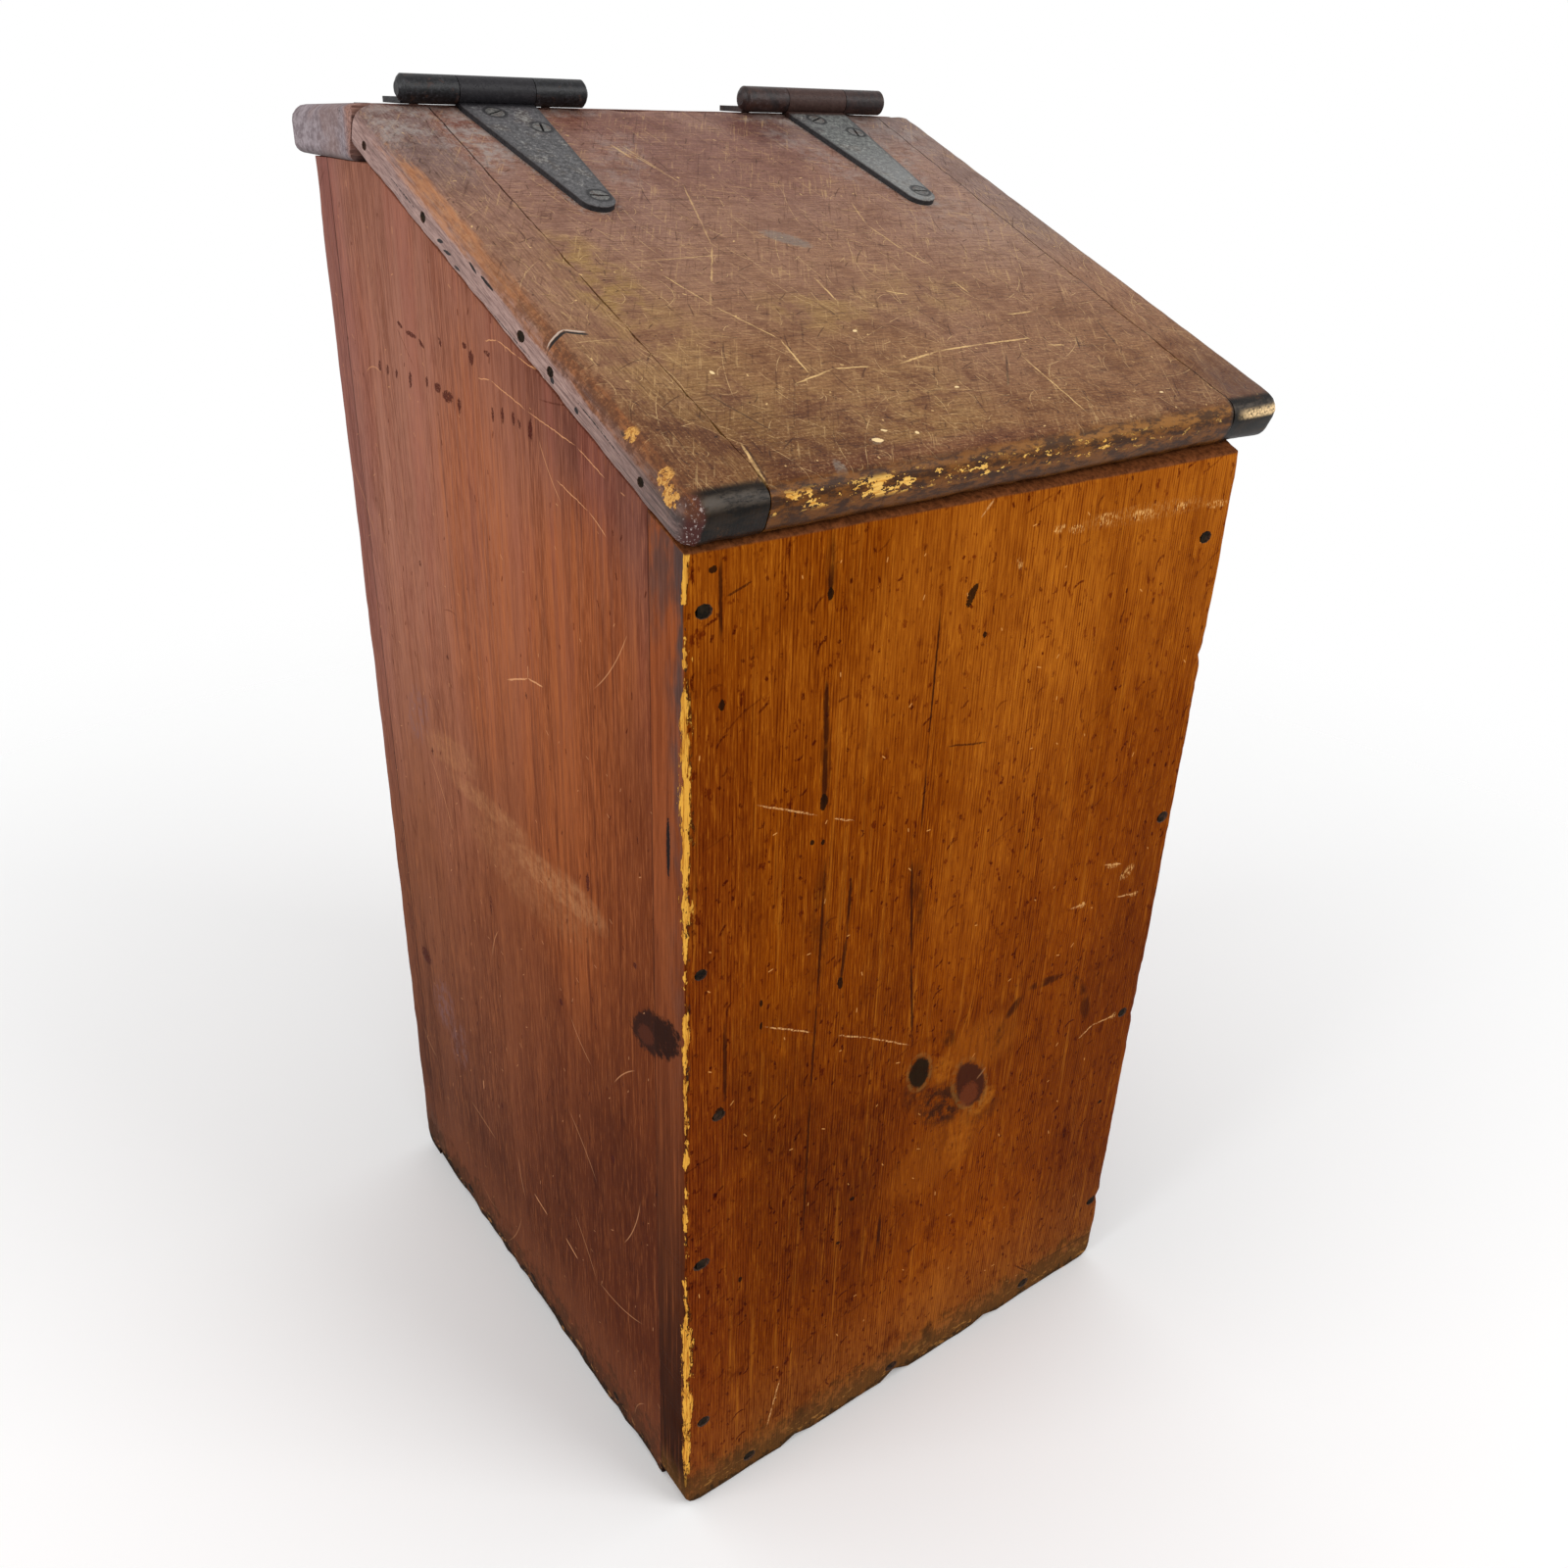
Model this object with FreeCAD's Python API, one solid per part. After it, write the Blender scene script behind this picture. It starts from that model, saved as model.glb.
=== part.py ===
import FreeCAD, Part
import math
import os

# Slant-top grain bin: six nailed boards, a breadboard lid and two iron T-hinges.
# Frame: millimetres, +Z up, the front faces -Y, +X is the viewer's right.
# The origin is the middle of the four walls' footprint, on the floor.

# ---- driving dimensions -----------------------------------------------------------

# Box of boards
body_width = 297.0
body_depth = 323.0
front_height = 500.0       # front board, at its face
back_height = 603.5        # back board, and the side boards under the rail
front_thickness = 23.0
back_thickness = 18.0
side_thickness = 22.0
bottom_thickness = 20.0
arris = 1.0                # rounding of the walls' handled edges
foot_wear = 9.0            # rounding of the front board's lower corners
heel_wear = 14.0           # rounding of the back board's lower edge, which tilting wears

rail_seat = 68.1           # level stretch of the walls' top edges, at the back

# Lid
lid_thickness = 20.0
lid_back_setback = 2.5     # from the lid's back face to the pins' axis, up the slope
lid_seat_gap = 0.2         # between the lid and the walls that it rests on
lid_front_overhang_left = 1.7
lid_front_overhang_right = -4.7    # the front edge is out of square
lid_left_overhang = 3.0
lid_right_overhang_front = 25.0
lid_right_overhang_back = 16.0     # the right batten is tapered
lid_corner_radius = 8.5    # front corners, seen square to the lid
lid_top_round = 8.0
lid_bottom_round = 6.0
left_seam_inset = 31.0     # batten seams, in from the side walls' faces
right_seam_inset = 11.0
seam_gap = 0.3
tongue_thickness = 7.0
tongue_length = 9.0
tongue_setback = 20.0      # the tongue stops this far short of the panel's edges
groove_side_gap = 0.2
groove_end_gap = 1.0

# Rail across the back
rail_thickness = 23.5
rail_gap = 1.8             # between the lid's back face and the rail's front face
rail_back_overhang = 25.0
rail_end_overhang = 2.5
rail_fall = 3.0            # how much its worn top drops from behind the hinges to the back
rail_fall_setback = 2.0    # from the rail leaves' back edges to where the fall starts
rail_corner_radius = 9.0   # back corners, seen from above
rail_top_round = 7.0
rail_bottom_round = 3.5
rail_front_arris = 1.5

# T-hinges
leaf_thickness = 2.5
pin_diameter = 6.7
pin_gap = 0.05             # radial, between the pin and its knuckles
pin_head_diameter = 9.6
pin_head_height = 1.3
pin_head_crown = 0.6       # width of the head's flat top, as a share of its rim
knuckle_gap = 0.35         # end to end, between neighbouring knuckles
roll_gap = 0.3             # between the end of the roll and the leaf it closes on
left_knuckle_length = 25.5
middle_knuckle_length = 37.0
right_knuckle_length = 26.5
knuckle_end_bevel = 1.0
rail_leaf_depth = 22.0     # from the pin's axis to the leaf's back edge
leaf_corner_radius = 2.5
notch_gap = 0.9            # between the strap's knuckle and the notch in the rail leaf
strap_length = 100.0       # from the pin's axis to the tip
strap_shoulder = 2.1       # from the knuckle to where the strap begins to narrow
strap_tip_width = 16.5
strap_lean = 4.5           # how far the tip lies to the right of the knuckle's middle
hinge_insets = {"left": 62.5, "right": 55.0}    # middle knuckles, in from the side walls' faces

# Countersunk wood screws
screw_head_diameter = 8.4
screw_head_angle = 82.0
screw_shank_diameter = 4.2
screw_length = 19.0
screw_hole_headroom = 1.0  # how far the drill that makes the hole starts above the head
screw_fit_gap = 0.05
slot_width = 1.2
slot_depth = 1.1
strap_screw_places = ((-5.0, 13.5), (11.0, 27.5), (7.0, 90.0))    # across, down the strap
rail_screw_places = ((-32.0, 14.5), (0.0, 15.5), (33.0, 14.5))   # across, back from the pin
slot_turns = (28.0, 75.0, -8.0)                                   # degrees

# Cut nails
nail_head_width = 6.0
nail_head_height = 4.6
nail_head_thickness = 1.4
nail_width = 4.2
nail_thickness = 2.6
nail_point_width = 1.6
nail_set = 0.5             # how far the heads lie below the surface
wall_nail_length = 58.0
batten_nail_length = 50.0
rail_nail_length = 55.0
# Inset from the side wall's face, and height as a share of the board's
front_nails_left = ((10.4, 0.116), (8.7, 0.332), (17.0, 0.498), (7.5, 0.652), (8.0, 0.956))
front_nails_right = ((7.0, 0.094), (10.5, 0.380), (7.5, 0.626), (14.5, 0.924))
back_nail_inset = 11.0
back_nail_shares = (0.075, 0.273, 0.481, 0.688, 0.903)
# Rows of three: insets of the first and last, and how far the middle one is off the middle
bottom_nail_rows = {"front": (39.0, 59.0, -13.5), "back": (45.0, 46.0, -0.5),
                    "left": (70.0, 68.0, 6.5), "right": (64.0, 65.0, -1.5)}
rail_nail_row = (24.0, 27.0, -2.5)    # along the back board's top edge
rail_nail_side_setback = 14.0         # behind the rail's lower front edge
batten_nail_shares = (0.098, 0.335, 0.419, 0.733, 0.949)    # of the way up the slope

# ---- derived sizes and the lid's own frame ----------------------------------------

Vector = FreeCAD.Vector
left_face = -body_width / 2
right_face = body_width / 2
front_face = -body_depth / 2
back_face = body_depth / 2
inner_left = left_face + side_thickness
inner_right = right_face - side_thickness
inner_front = front_face + front_thickness
inner_back = back_face - back_thickness
knee_y = back_face - rail_seat    # where the walls' top edges begin to slant
pitch = math.atan2(back_height - front_height, knee_y - front_face)
rail_top = back_height + rail_thickness
pin_radius = pin_diameter / 2
knuckle_bore = pin_radius + pin_gap
knuckle_radius = knuckle_bore + leaf_thickness
half_middle = middle_knuckle_length / 2
barrel_left = -half_middle - left_knuckle_length
barrel_right = half_middle + right_knuckle_length
long_way = body_width + body_depth + back_height    # longer than any cut needs
touching = 0.01            # how near a plane counts as on it, where edges are picked


def on_slope(across, up_slope, above=0.0):
    """A point in the lid's frame: across is X, up_slope starts at the front wall's face
    and above is square to the lid, from the plane of the walls' slanted edges."""
    y = front_face + up_slope * math.cos(pitch) - above * math.sin(pitch)
    z = front_height + up_slope * math.sin(pitch) + above * math.cos(pitch)
    return Vector(across, y, z)


def lean(shape):
    """Turn and move a shape drawn flat, with Y up the slope and Z square to it."""
    tilted = shape.copy()
    tilted.rotate(Vector(0, 0, 0), Vector(1, 0, 0), math.degrees(pitch))
    tilted.translate(on_slope(0, 0))
    return tilted


# The pin lies one knuckle radius above the rail's top and above the lid's top.
lid_top_above = lid_seat_gap + lid_thickness
axis_z = rail_top + knuckle_radius
axis_above = lid_top_above + knuckle_radius
axis_rise = axis_z - front_height
axis_y = front_face + (axis_rise * math.cos(pitch) - axis_above) / math.sin(pitch)
axis_up_slope = (axis_y - front_face) * math.cos(pitch) + axis_rise * math.sin(pitch)
lid_depth = axis_up_slope - lid_back_setback    # from the front wall's face
rail_up_slope = lid_depth + rail_gap
rail_back = back_face + rail_back_overhang
fall_start = axis_y + rail_leaf_depth + rail_fall_setback


def slope_y(up_slope, z):
    """Y where the plane square to the lid at up_slope reaches height z."""
    return front_face + (up_slope - (z - front_height) * math.sin(pitch)) / math.cos(pitch)


def rail_height(y):
    """Z of the rail's top."""
    return rail_top - rail_fall * max(0.0, y - fall_start) / (rail_back - fall_start)


# ---- general helpers --------------------------------------------------------------


def box(low, high):
    size = Vector(*high) - Vector(*low)
    return Part.makeBox(size.x, size.y, size.z, Vector(*low))


def prism(points, direction):
    """Extrude a closed polygon."""
    wire = Part.makePolygon([Vector(*point) for point in points] + [Vector(*points[0])])
    return Part.Face(wire).extrude(Vector(*direction))


def edges_where(shape, test):
    """Straight and curved edges whose every end passes the test."""
    return [edge for edge in shape.Edges if all(test(vertex.Point) for vertex in edge.Vertexes)]


def along(edge, axis):
    """Whether a straight edge runs along the X, Y or Z axis."""
    ends = [vertex.Point for vertex in edge.Vertexes]
    if len(ends) != 2:
        return False
    run = (ends[1] - ends[0]).normalize()
    return abs(getattr(run, axis)) > 0.999


def cut_all(shape, tools):
    return shape.cut(tools) if tools else shape


def save(name, shapes):
    """Write one node, as one solid or as a group of separate solids."""
    solids = [solid for shape in shapes for solid in shape.Solids]
    result = solids[0] if len(solids) == 1 else Part.makeCompound(solids)
    result.exportStep("parts/" + name + ".step")


# ---- nails ------------------------------------------------------------------------


def cut_nail(length, head_proud=0.0):
    """A cut nail that points down -Z, its head's top at Z = 0: the shank tapers in one
    direction only. head_proud lengthens the head upwards, for the pocket it sinks into."""
    half_thick = nail_thickness / 2
    half_wide = nail_width / 2
    half_point = nail_point_width / 2
    neck = -nail_head_thickness
    shank = prism([(-half_wide, -half_thick, neck), (half_wide, -half_thick, neck),
                   (half_point, -half_thick, -length), (-half_point, -half_thick, -length)],
                  (0, nail_thickness, 0))
    head = box((-nail_head_width / 2, -nail_head_height / 2, neck),
               (nail_head_width / 2, nail_head_height / 2, head_proud))
    return head.fuse(shank).removeSplitter()


def place_nail(length, surface_point, inward, width_axis):
    """A nail and the pocket it needs, driven from a surface point along inward."""
    down = Vector(*inward)
    wide = Vector(*width_axis)
    thick = down.cross(wide) * -1
    head_top = surface_point + down * nail_set
    matrix = FreeCAD.Matrix(wide.x, thick.x, -down.x, head_top.x,
                            wide.y, thick.y, -down.y, head_top.y,
                            wide.z, thick.z, -down.z, head_top.z,
                            0, 0, 0, 1)
    nail = cut_nail(length)
    nail.Placement = FreeCAD.Placement(matrix)
    pocket = cut_nail(length, 2 * nail_set)
    pocket.Placement = FreeCAD.Placement(matrix)
    return nail, pocket


def front_nail_set():
    """Front board into the side boards' front edges."""
    places = [(left_face + inset, share) for inset, share in front_nails_left]
    places += [(right_face - inset, share) for inset, share in front_nails_right]
    return [place_nail(wall_nail_length, Vector(x, front_face, share * front_height),
                       (0, 1, 0), (0, 0, 1))
            for x, share in places]


def back_nail_set():
    """Back board into the side boards' back edges."""
    return [place_nail(wall_nail_length, Vector(x, back_face, share * back_height),
                       (0, -1, 0), (0, 0, 1))
            for x in (left_face + back_nail_inset, right_face - back_nail_inset)
            for share in back_nail_shares]


def row_places(row, low, high):
    """Where the three nails of a row come, between two faces."""
    first_inset, last_inset, off_middle = row
    return low + first_inset, (low + high) / 2 + off_middle, high - last_inset


def bottom_nail_set():
    """The four walls into the bottom board's edges."""
    height = bottom_thickness / 2
    nails = []
    for wall, face_y, inward in (("front", front_face, 1), ("back", back_face, -1)):
        clear_of_wear = heel_wear / 2 if wall == "back" else 0
        for x in row_places(bottom_nail_rows[wall], left_face, right_face):
            point = Vector(x, face_y, height + clear_of_wear)
            nails.append(place_nail(wall_nail_length, point, (0, inward, 0), (1, 0, 0)))
    for wall, face_x, inward in (("left", left_face, 1), ("right", right_face, -1)):
        for y in row_places(bottom_nail_rows[wall], front_face, back_face):
            point = Vector(face_x, y, height)
            nails.append(place_nail(wall_nail_length, point, (inward, 0, 0), (0, 1, 0)))
    return nails


def rail_nail_set():
    """The rail into the top edges of the back board and of the side boards."""
    back_row_y = back_face - back_thickness / 2
    side_row_y = slope_y(rail_up_slope, back_height) + rail_nail_side_setback
    points = [Vector(x, back_row_y, rail_height(back_row_y))
              for x in row_places(rail_nail_row, left_face, right_face)]
    points += [Vector(side * (body_width - side_thickness) / 2, side_row_y, rail_top)
               for side in (-1, 1)]
    return [place_nail(rail_nail_length, point, (0, 0, -1), (1, 0, 0)) for point in points]


# ---- boards of the box ------------------------------------------------------------


def wall_profile(y_low, y_high, z_high_at_low, z_high_at_high, knee=None):
    """A wall's outline in the YZ plane, with an optional knee in its top edge."""
    top = [(y_high, z_high_at_high)] + ([knee] if knee else []) + [(y_low, z_high_at_low)]
    return [(y_low, 0.0), (y_high, 0.0)] + top


def board(outline, x_low, x_high):
    """Extrude an outline drawn in the YZ plane."""
    return prism([(x_low, y, z) for y, z in outline], (x_high - x_low, 0, 0))


def slope_height(y):
    return front_height + (y - front_face) * math.tan(pitch)


def make_front_board(pockets):
    outline = wall_profile(front_face, inner_front, front_height, slope_height(inner_front))
    shape = board(outline, left_face, right_face)
    feet = [edge for edge in edges_where(shape, lambda p: abs(p.z) < touching)
            if along(edge, "y")]
    shape = shape.makeFillet(foot_wear, feet)
    rim = edges_where(shape, lambda p: abs(p.y - front_face) < touching)
    shape = shape.makeFillet(arris, rim)
    return cut_all(shape, pockets)


def make_back_board(pockets):
    outline = wall_profile(inner_back, back_face, back_height, back_height)
    shape = board(outline, left_face, right_face)
    heel = [edge for edge in edges_where(shape, lambda p: abs(p.z) < touching
                                         and abs(p.y - back_face) < touching) if along(edge, "x")]
    shape = shape.makeFillet(heel_wear, heel)
    uprights = [edge for edge in edges_where(shape, lambda p: abs(p.y - back_face) < touching)
                if along(edge, "z")]
    shape = shape.makeFillet(arris, uprights)
    return cut_all(shape, pockets)


def make_side_board(x_low, x_high, outer_x, pockets):
    outline = wall_profile(inner_front, inner_back, slope_height(inner_front), back_height,
                           (knee_y, back_height))
    shape = board(outline, x_low, x_high)
    foot = [edge for edge in edges_where(shape, lambda p: abs(p.z) < touching
                                         and abs(p.x - outer_x) < touching) if along(edge, "y")]
    shape = shape.makeFillet(arris, foot)
    return cut_all(shape, pockets)


def make_bottom_board(pockets):
    shape = box((inner_left, inner_front, 0), (inner_right, inner_back, bottom_thickness))
    return cut_all(shape, pockets)


# ---- rail -------------------------------------------------------------------------


def make_rail(pockets):
    """A plank whose front face is square to the lid and whose top falls to the back."""
    low_front = slope_y(rail_up_slope, back_height)
    high_front = slope_y(rail_up_slope, rail_top)
    across = rail_front_arris * math.sin(pitch)
    down = rail_front_arris * math.cos(pitch)
    x_low = left_face - rail_end_overhang
    x_high = right_face + rail_end_overhang
    outline = [(low_front, back_height), (rail_back, back_height),
               (rail_back, rail_height(rail_back)), (fall_start, rail_top),
               (high_front + rail_front_arris, rail_top),
               (high_front + across, rail_top - down)]
    shape = board(outline, x_low, x_high)
    corners = [edge for edge in edges_where(shape, lambda p: abs(p.y - rail_back) < touching)
               if along(edge, "z")]
    shape = shape.makeFillet(rail_corner_radius, corners)
    for height_at, radius in ((rail_height, rail_top_round),
                              (lambda y: back_height, rail_bottom_round)):
        rim = edges_where(shape, lambda p: abs(p.z - height_at(p.y)) < touching)
        rim = [edge for edge in rim
               if not along(edge, "x") or edge.Vertexes[0].Y > rail_back - rail_corner_radius]
        shape = shape.makeFillet(radius, rim)
    return cut_all(shape, pockets)


# ---- lid --------------------------------------------------------------------------


def right_edge_x(up_slope):
    """X of the lid's tapered right edge."""
    front_up = -lid_front_overhang_right
    share = (up_slope - front_up) / (lid_depth - front_up)
    overhang = lid_right_overhang_front + share * (lid_right_overhang_back
                                                   - lid_right_overhang_front)
    return right_face + overhang


lid_left_x = left_face - lid_left_overhang
left_seam_x = left_face + left_seam_inset
right_seam_x = right_face - right_seam_inset


def make_lid_blank():
    """The whole lid as one board, lying flat, with its edge rounded on three sides."""
    front_left = (lid_left_x, -lid_front_overhang_left, lid_seat_gap)
    front_right = (right_edge_x(-lid_front_overhang_right), -lid_front_overhang_right, lid_seat_gap)
    back_right = (right_edge_x(lid_depth), lid_depth, lid_seat_gap)
    back_left = (lid_left_x, lid_depth, lid_seat_gap)
    shape = prism([front_left, front_right, back_right, back_left], (0, 0, lid_thickness))
    corners = [edge for edge in edges_where(shape, lambda p: p.y < lid_depth / 2)
               if along(edge, "z")]
    shape = shape.makeFillet(lid_corner_radius, corners)
    for height, radius in ((lid_top_above, lid_top_round), (lid_seat_gap, lid_bottom_round)):
        rim = edges_where(shape, lambda p: abs(p.z - height) < touching)
        rim = [edge for edge in rim if edge.BoundBox.YMin < lid_depth - lid_thickness]
        shape = shape.makeFillet(radius, rim)
    return shape


def tongue(seam_x, outward, side_gap=0.0, end_gap=0.0):
    """The tongue on one end of the panel, or with gaps the groove that takes it."""
    middle = lid_seat_gap + lid_thickness / 2
    half = tongue_thickness / 2 + side_gap
    reach = seam_x + outward * (tongue_length + end_gap)
    root = seam_x - outward * seam_gap
    x_low, x_high = sorted((root, reach))
    return box((x_low, tongue_setback - end_gap, middle - half),
               (x_high, lid_depth - tongue_setback + end_gap, middle + half))


def slab(x_low, x_high):
    """The stretch of the flat lid between two X values."""
    return box((x_low, -long_way, -long_way), (x_high, long_way, long_way))


def batten_nail_set(outward):
    """Nails through a batten's edge and the tongue, in the flat lid's frame."""
    flat_of_edge = lid_thickness - lid_top_round - lid_bottom_round
    above = lid_seat_gap + lid_bottom_round + flat_of_edge / 2
    nails = []
    for share in batten_nail_shares:
        up_slope = share * lid_depth
        surface_x = lid_left_x if outward < 0 else right_edge_x(up_slope)
        point = Vector(surface_x, up_slope, above)
        nails.append(place_nail(batten_nail_length, point, (-outward, 0, 0), (0, 1, 0)))
    return nails


# ---- screws -----------------------------------------------------------------------


def turned(outline, about=(0, 0, 1), start=0.0, sweep=360.0):
    """Revolve a closed polygon about an axis through the origin."""
    wire = Part.makePolygon([Vector(*point) for point in outline] + [Vector(*outline[0])])
    face = Part.Face(wire)
    face.rotate(Vector(0, 0, 0), Vector(*about), start)
    return face.revolve(Vector(0, 0, 0), Vector(*about), sweep)


def place_screw(position, turn):
    """A slotted, countersunk screw that points down -Z and the hole that it needs."""
    head = screw_head_diameter / 2
    shank = screw_shank_diameter / 2
    head_depth = (head - shank) / math.tan(math.radians(screw_head_angle / 2))
    screw = turned([(0, 0, 0), (head, 0, 0), (shank, 0, -head_depth),
                    (shank, 0, -screw_length), (0, 0, -screw_length)])
    slot = box((-head, -slot_width / 2, -slot_depth), (head, slot_width / 2, slot_depth))
    slot.rotate(Vector(0, 0, 0), Vector(0, 0, 1), turn)
    screw = screw.cut(slot)
    wide = head + screw_fit_gap
    narrow = shank + screw_fit_gap
    depth = -screw_length - screw_fit_gap
    hole = turned([(0, 0, screw_hole_headroom), (wide, 0, screw_hole_headroom), (wide, 0, 0),
                   (narrow, 0, -head_depth), (narrow, 0, depth), (0, 0, depth)])
    screw.translate(position)
    hole.translate(position)
    return screw, hole


# ---- T-hinges ---------------------------------------------------------------------


def polar(radius, degrees):
    angle = math.radians(degrees)
    return Vector(0, radius * math.cos(angle), radius * math.sin(angle))


# The roll leaves the leaf at the bottom of the knuckle, goes once round the pin and
# stops roll_gap short of the leaf's upper face.
roll_end_angle = -math.degrees(math.asin((knuckle_bore - roll_gap) / knuckle_radius))
roll_start_angle = -90.0
roll_sweep = 360.0 + roll_start_angle - roll_end_angle


def rolled_leaf(x_low, x_high, reach):
    """One knuckle with its leaf, which runs along +Y by reach. The pin's axis is X."""
    middle_angle = roll_end_angle + roll_sweep / 2
    outer_start = polar(knuckle_radius, roll_start_angle)
    outer_end = polar(knuckle_radius, roll_end_angle)
    inner_start = polar(knuckle_bore, roll_start_angle)
    inner_end = polar(knuckle_bore, roll_end_angle)
    leaf_low = Vector(0, reach, -knuckle_radius)
    leaf_high = Vector(0, reach, -knuckle_bore)
    edges = [Part.makeLine(leaf_low, outer_start),
             Part.Arc(outer_start, polar(knuckle_radius, middle_angle), outer_end).toShape(),
             Part.makeLine(outer_end, inner_end),
             Part.Arc(inner_end, polar(knuckle_bore, middle_angle), inner_start).toShape(),
             Part.makeLine(inner_start, leaf_high),
             Part.makeLine(leaf_high, leaf_low)]
    solid = Part.Face(Part.Wire(edges)).extrude(Vector(x_high - x_low, 0, 0))
    solid.translate(Vector(x_low, 0, 0))
    return solid


def end_bevel(x_end, outward):
    """What filing takes off the outer edge of a knuckle's end, over the roll only."""
    inner_x = x_end - outward * knuckle_end_bevel
    beyond_x = x_end + outward * knuckle_end_bevel
    rim = knuckle_radius + knuckle_end_bevel
    triangle = [(inner_x, knuckle_radius, 0), (x_end, knuckle_radius - knuckle_end_bevel, 0),
                (beyond_x, knuckle_radius - knuckle_end_bevel, 0), (beyond_x, rim, 0),
                (inner_x, rim, 0)]
    return turned(triangle, (1, 0, 0), roll_end_angle, roll_sweep)


def make_rail_leaf(holes):
    """The fixed leaf: a plate with two outer knuckles and a notch between them."""
    left = rolled_leaf(barrel_left, -half_middle - knuckle_gap / 2, rail_leaf_depth)
    right = rolled_leaf(half_middle + knuckle_gap / 2, barrel_right, rail_leaf_depth)
    half_notch = half_middle + knuckle_gap / 2
    bridge = box((-half_notch, knuckle_radius + notch_gap, -knuckle_radius),
                 (half_notch, rail_leaf_depth, -knuckle_bore))
    leaf = left.fuse([right, bridge]).removeSplitter()
    corners = [edge for edge in edges_where(leaf, lambda p: abs(p.y - rail_leaf_depth) < touching)
               if along(edge, "z")]
    leaf = leaf.makeFillet(leaf_corner_radius, corners)
    leaf = leaf.cut([end_bevel(barrel_left, -1), end_bevel(barrel_right, 1)])
    return cut_all(leaf, holes)


def make_strap(holes):
    """The moving leaf: the middle knuckle and a strap that tapers to a round tip."""
    half = half_middle - knuckle_gap / 2
    tip = strap_tip_width / 2
    taper_start = knuckle_radius + strap_shoulder
    left_root = Vector(-half, taper_start, -knuckle_radius)
    left_tip = Vector(strap_lean - tip, strap_length - tip, -knuckle_radius)
    far_tip = Vector(strap_lean, strap_length, -knuckle_radius)
    right_tip = Vector(strap_lean + tip, strap_length - tip, -knuckle_radius)
    right_root = Vector(half, taper_start, -knuckle_radius)
    edges = [Part.makeLine(left_root, left_tip),
             Part.Arc(left_tip, far_tip, right_tip).toShape(),
             Part.makeLine(right_tip, right_root),
             Part.makeLine(right_root, left_root)]
    plate = Part.Face(Part.Wire(edges)).extrude(Vector(0, 0, leaf_thickness))
    strap = rolled_leaf(-half, half, taper_start).fuse(plate).removeSplitter()
    return cut_all(strap.mirror(Vector(0, 0, 0), Vector(0, 1, 0)), holes)


def make_pin():
    """A riveted pin with a shallow domed head at each end."""
    rim = pin_head_diameter / 2
    crown = rim * pin_head_crown
    left_top = barrel_left - pin_head_height
    right_top = barrel_right + pin_head_height
    outline = [(left_top, 0, 0), (left_top, crown, 0), (barrel_left, rim, 0),
               (barrel_left, pin_radius, 0), (barrel_right, pin_radius, 0),
               (barrel_right, rim, 0), (right_top, crown, 0), (right_top, 0, 0)]
    return turned(outline, (1, 0, 0))


# ---- assembly ---------------------------------------------------------------------


def split(pairs):
    """Separate (piece, pocket) pairs into two lists."""
    return [piece for piece, pocket in pairs], [pocket for piece, pocket in pairs]


os.makedirs("parts", exist_ok=True)
front_nails, front_pockets = split(front_nail_set())
back_nails, back_pockets = split(back_nail_set())
bottom_nails, bottom_pockets = split(bottom_nail_set())
rail_nails, rail_pockets = split(rail_nail_set())

rail_screws = {}
strap_screws = {}
rail_leaves = {}
straps = {}
pins = {}
rail_holes = []
strap_holes = []
for side, centre_x in (("left", left_face + hinge_insets["left"]),
                       ("right", right_face - hinge_insets["right"])):
    in_rail = [place_screw(Vector(across, back, -knuckle_bore), turn)
               for (across, back), turn in zip(rail_screw_places, slot_turns)]
    in_lid = [place_screw(Vector(across, -down, -knuckle_bore), turn)
              for (across, down), turn in zip(strap_screw_places, slot_turns)]
    rail_screws[side], rail_leaf_holes = split(in_rail)
    strap_screws[side], strap_leaf_holes = split(in_lid)
    rail_leaves[side] = make_rail_leaf(rail_leaf_holes)
    straps[side] = make_strap(strap_leaf_holes)
    pins[side] = make_pin()
    for shape in rail_screws[side] + rail_leaf_holes + [rail_leaves[side], pins[side]]:
        shape.translate(Vector(centre_x, axis_y, axis_z))
    for shape in strap_screws[side] + strap_leaf_holes + [straps[side]]:
        shape.translate(Vector(centre_x, axis_up_slope, axis_above))
    rail_holes += rail_leaf_holes
    strap_holes += strap_leaf_holes

blank = make_lid_blank()
left_nails, left_pockets = split(batten_nail_set(-1))
right_nails, right_pockets = split(batten_nail_set(1))
half_seam = seam_gap / 2
panel = blank.common(slab(left_seam_x + half_seam, right_seam_x - half_seam))
panel = panel.fuse([tongue(left_seam_x, -1), tongue(right_seam_x, 1)]).removeSplitter()
panel = panel.cut(left_pockets + right_pockets + strap_holes)
left_batten = blank.common(slab(-long_way, left_seam_x - half_seam))
left_batten = left_batten.cut([tongue(left_seam_x, -1, groove_side_gap, groove_end_gap)])
left_batten = left_batten.cut(left_pockets)
right_batten = blank.common(slab(right_seam_x + half_seam, long_way))
right_batten = right_batten.cut([tongue(right_seam_x, 1, groove_side_gap, groove_end_gap)])
right_batten = right_batten.cut(right_pockets)

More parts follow.
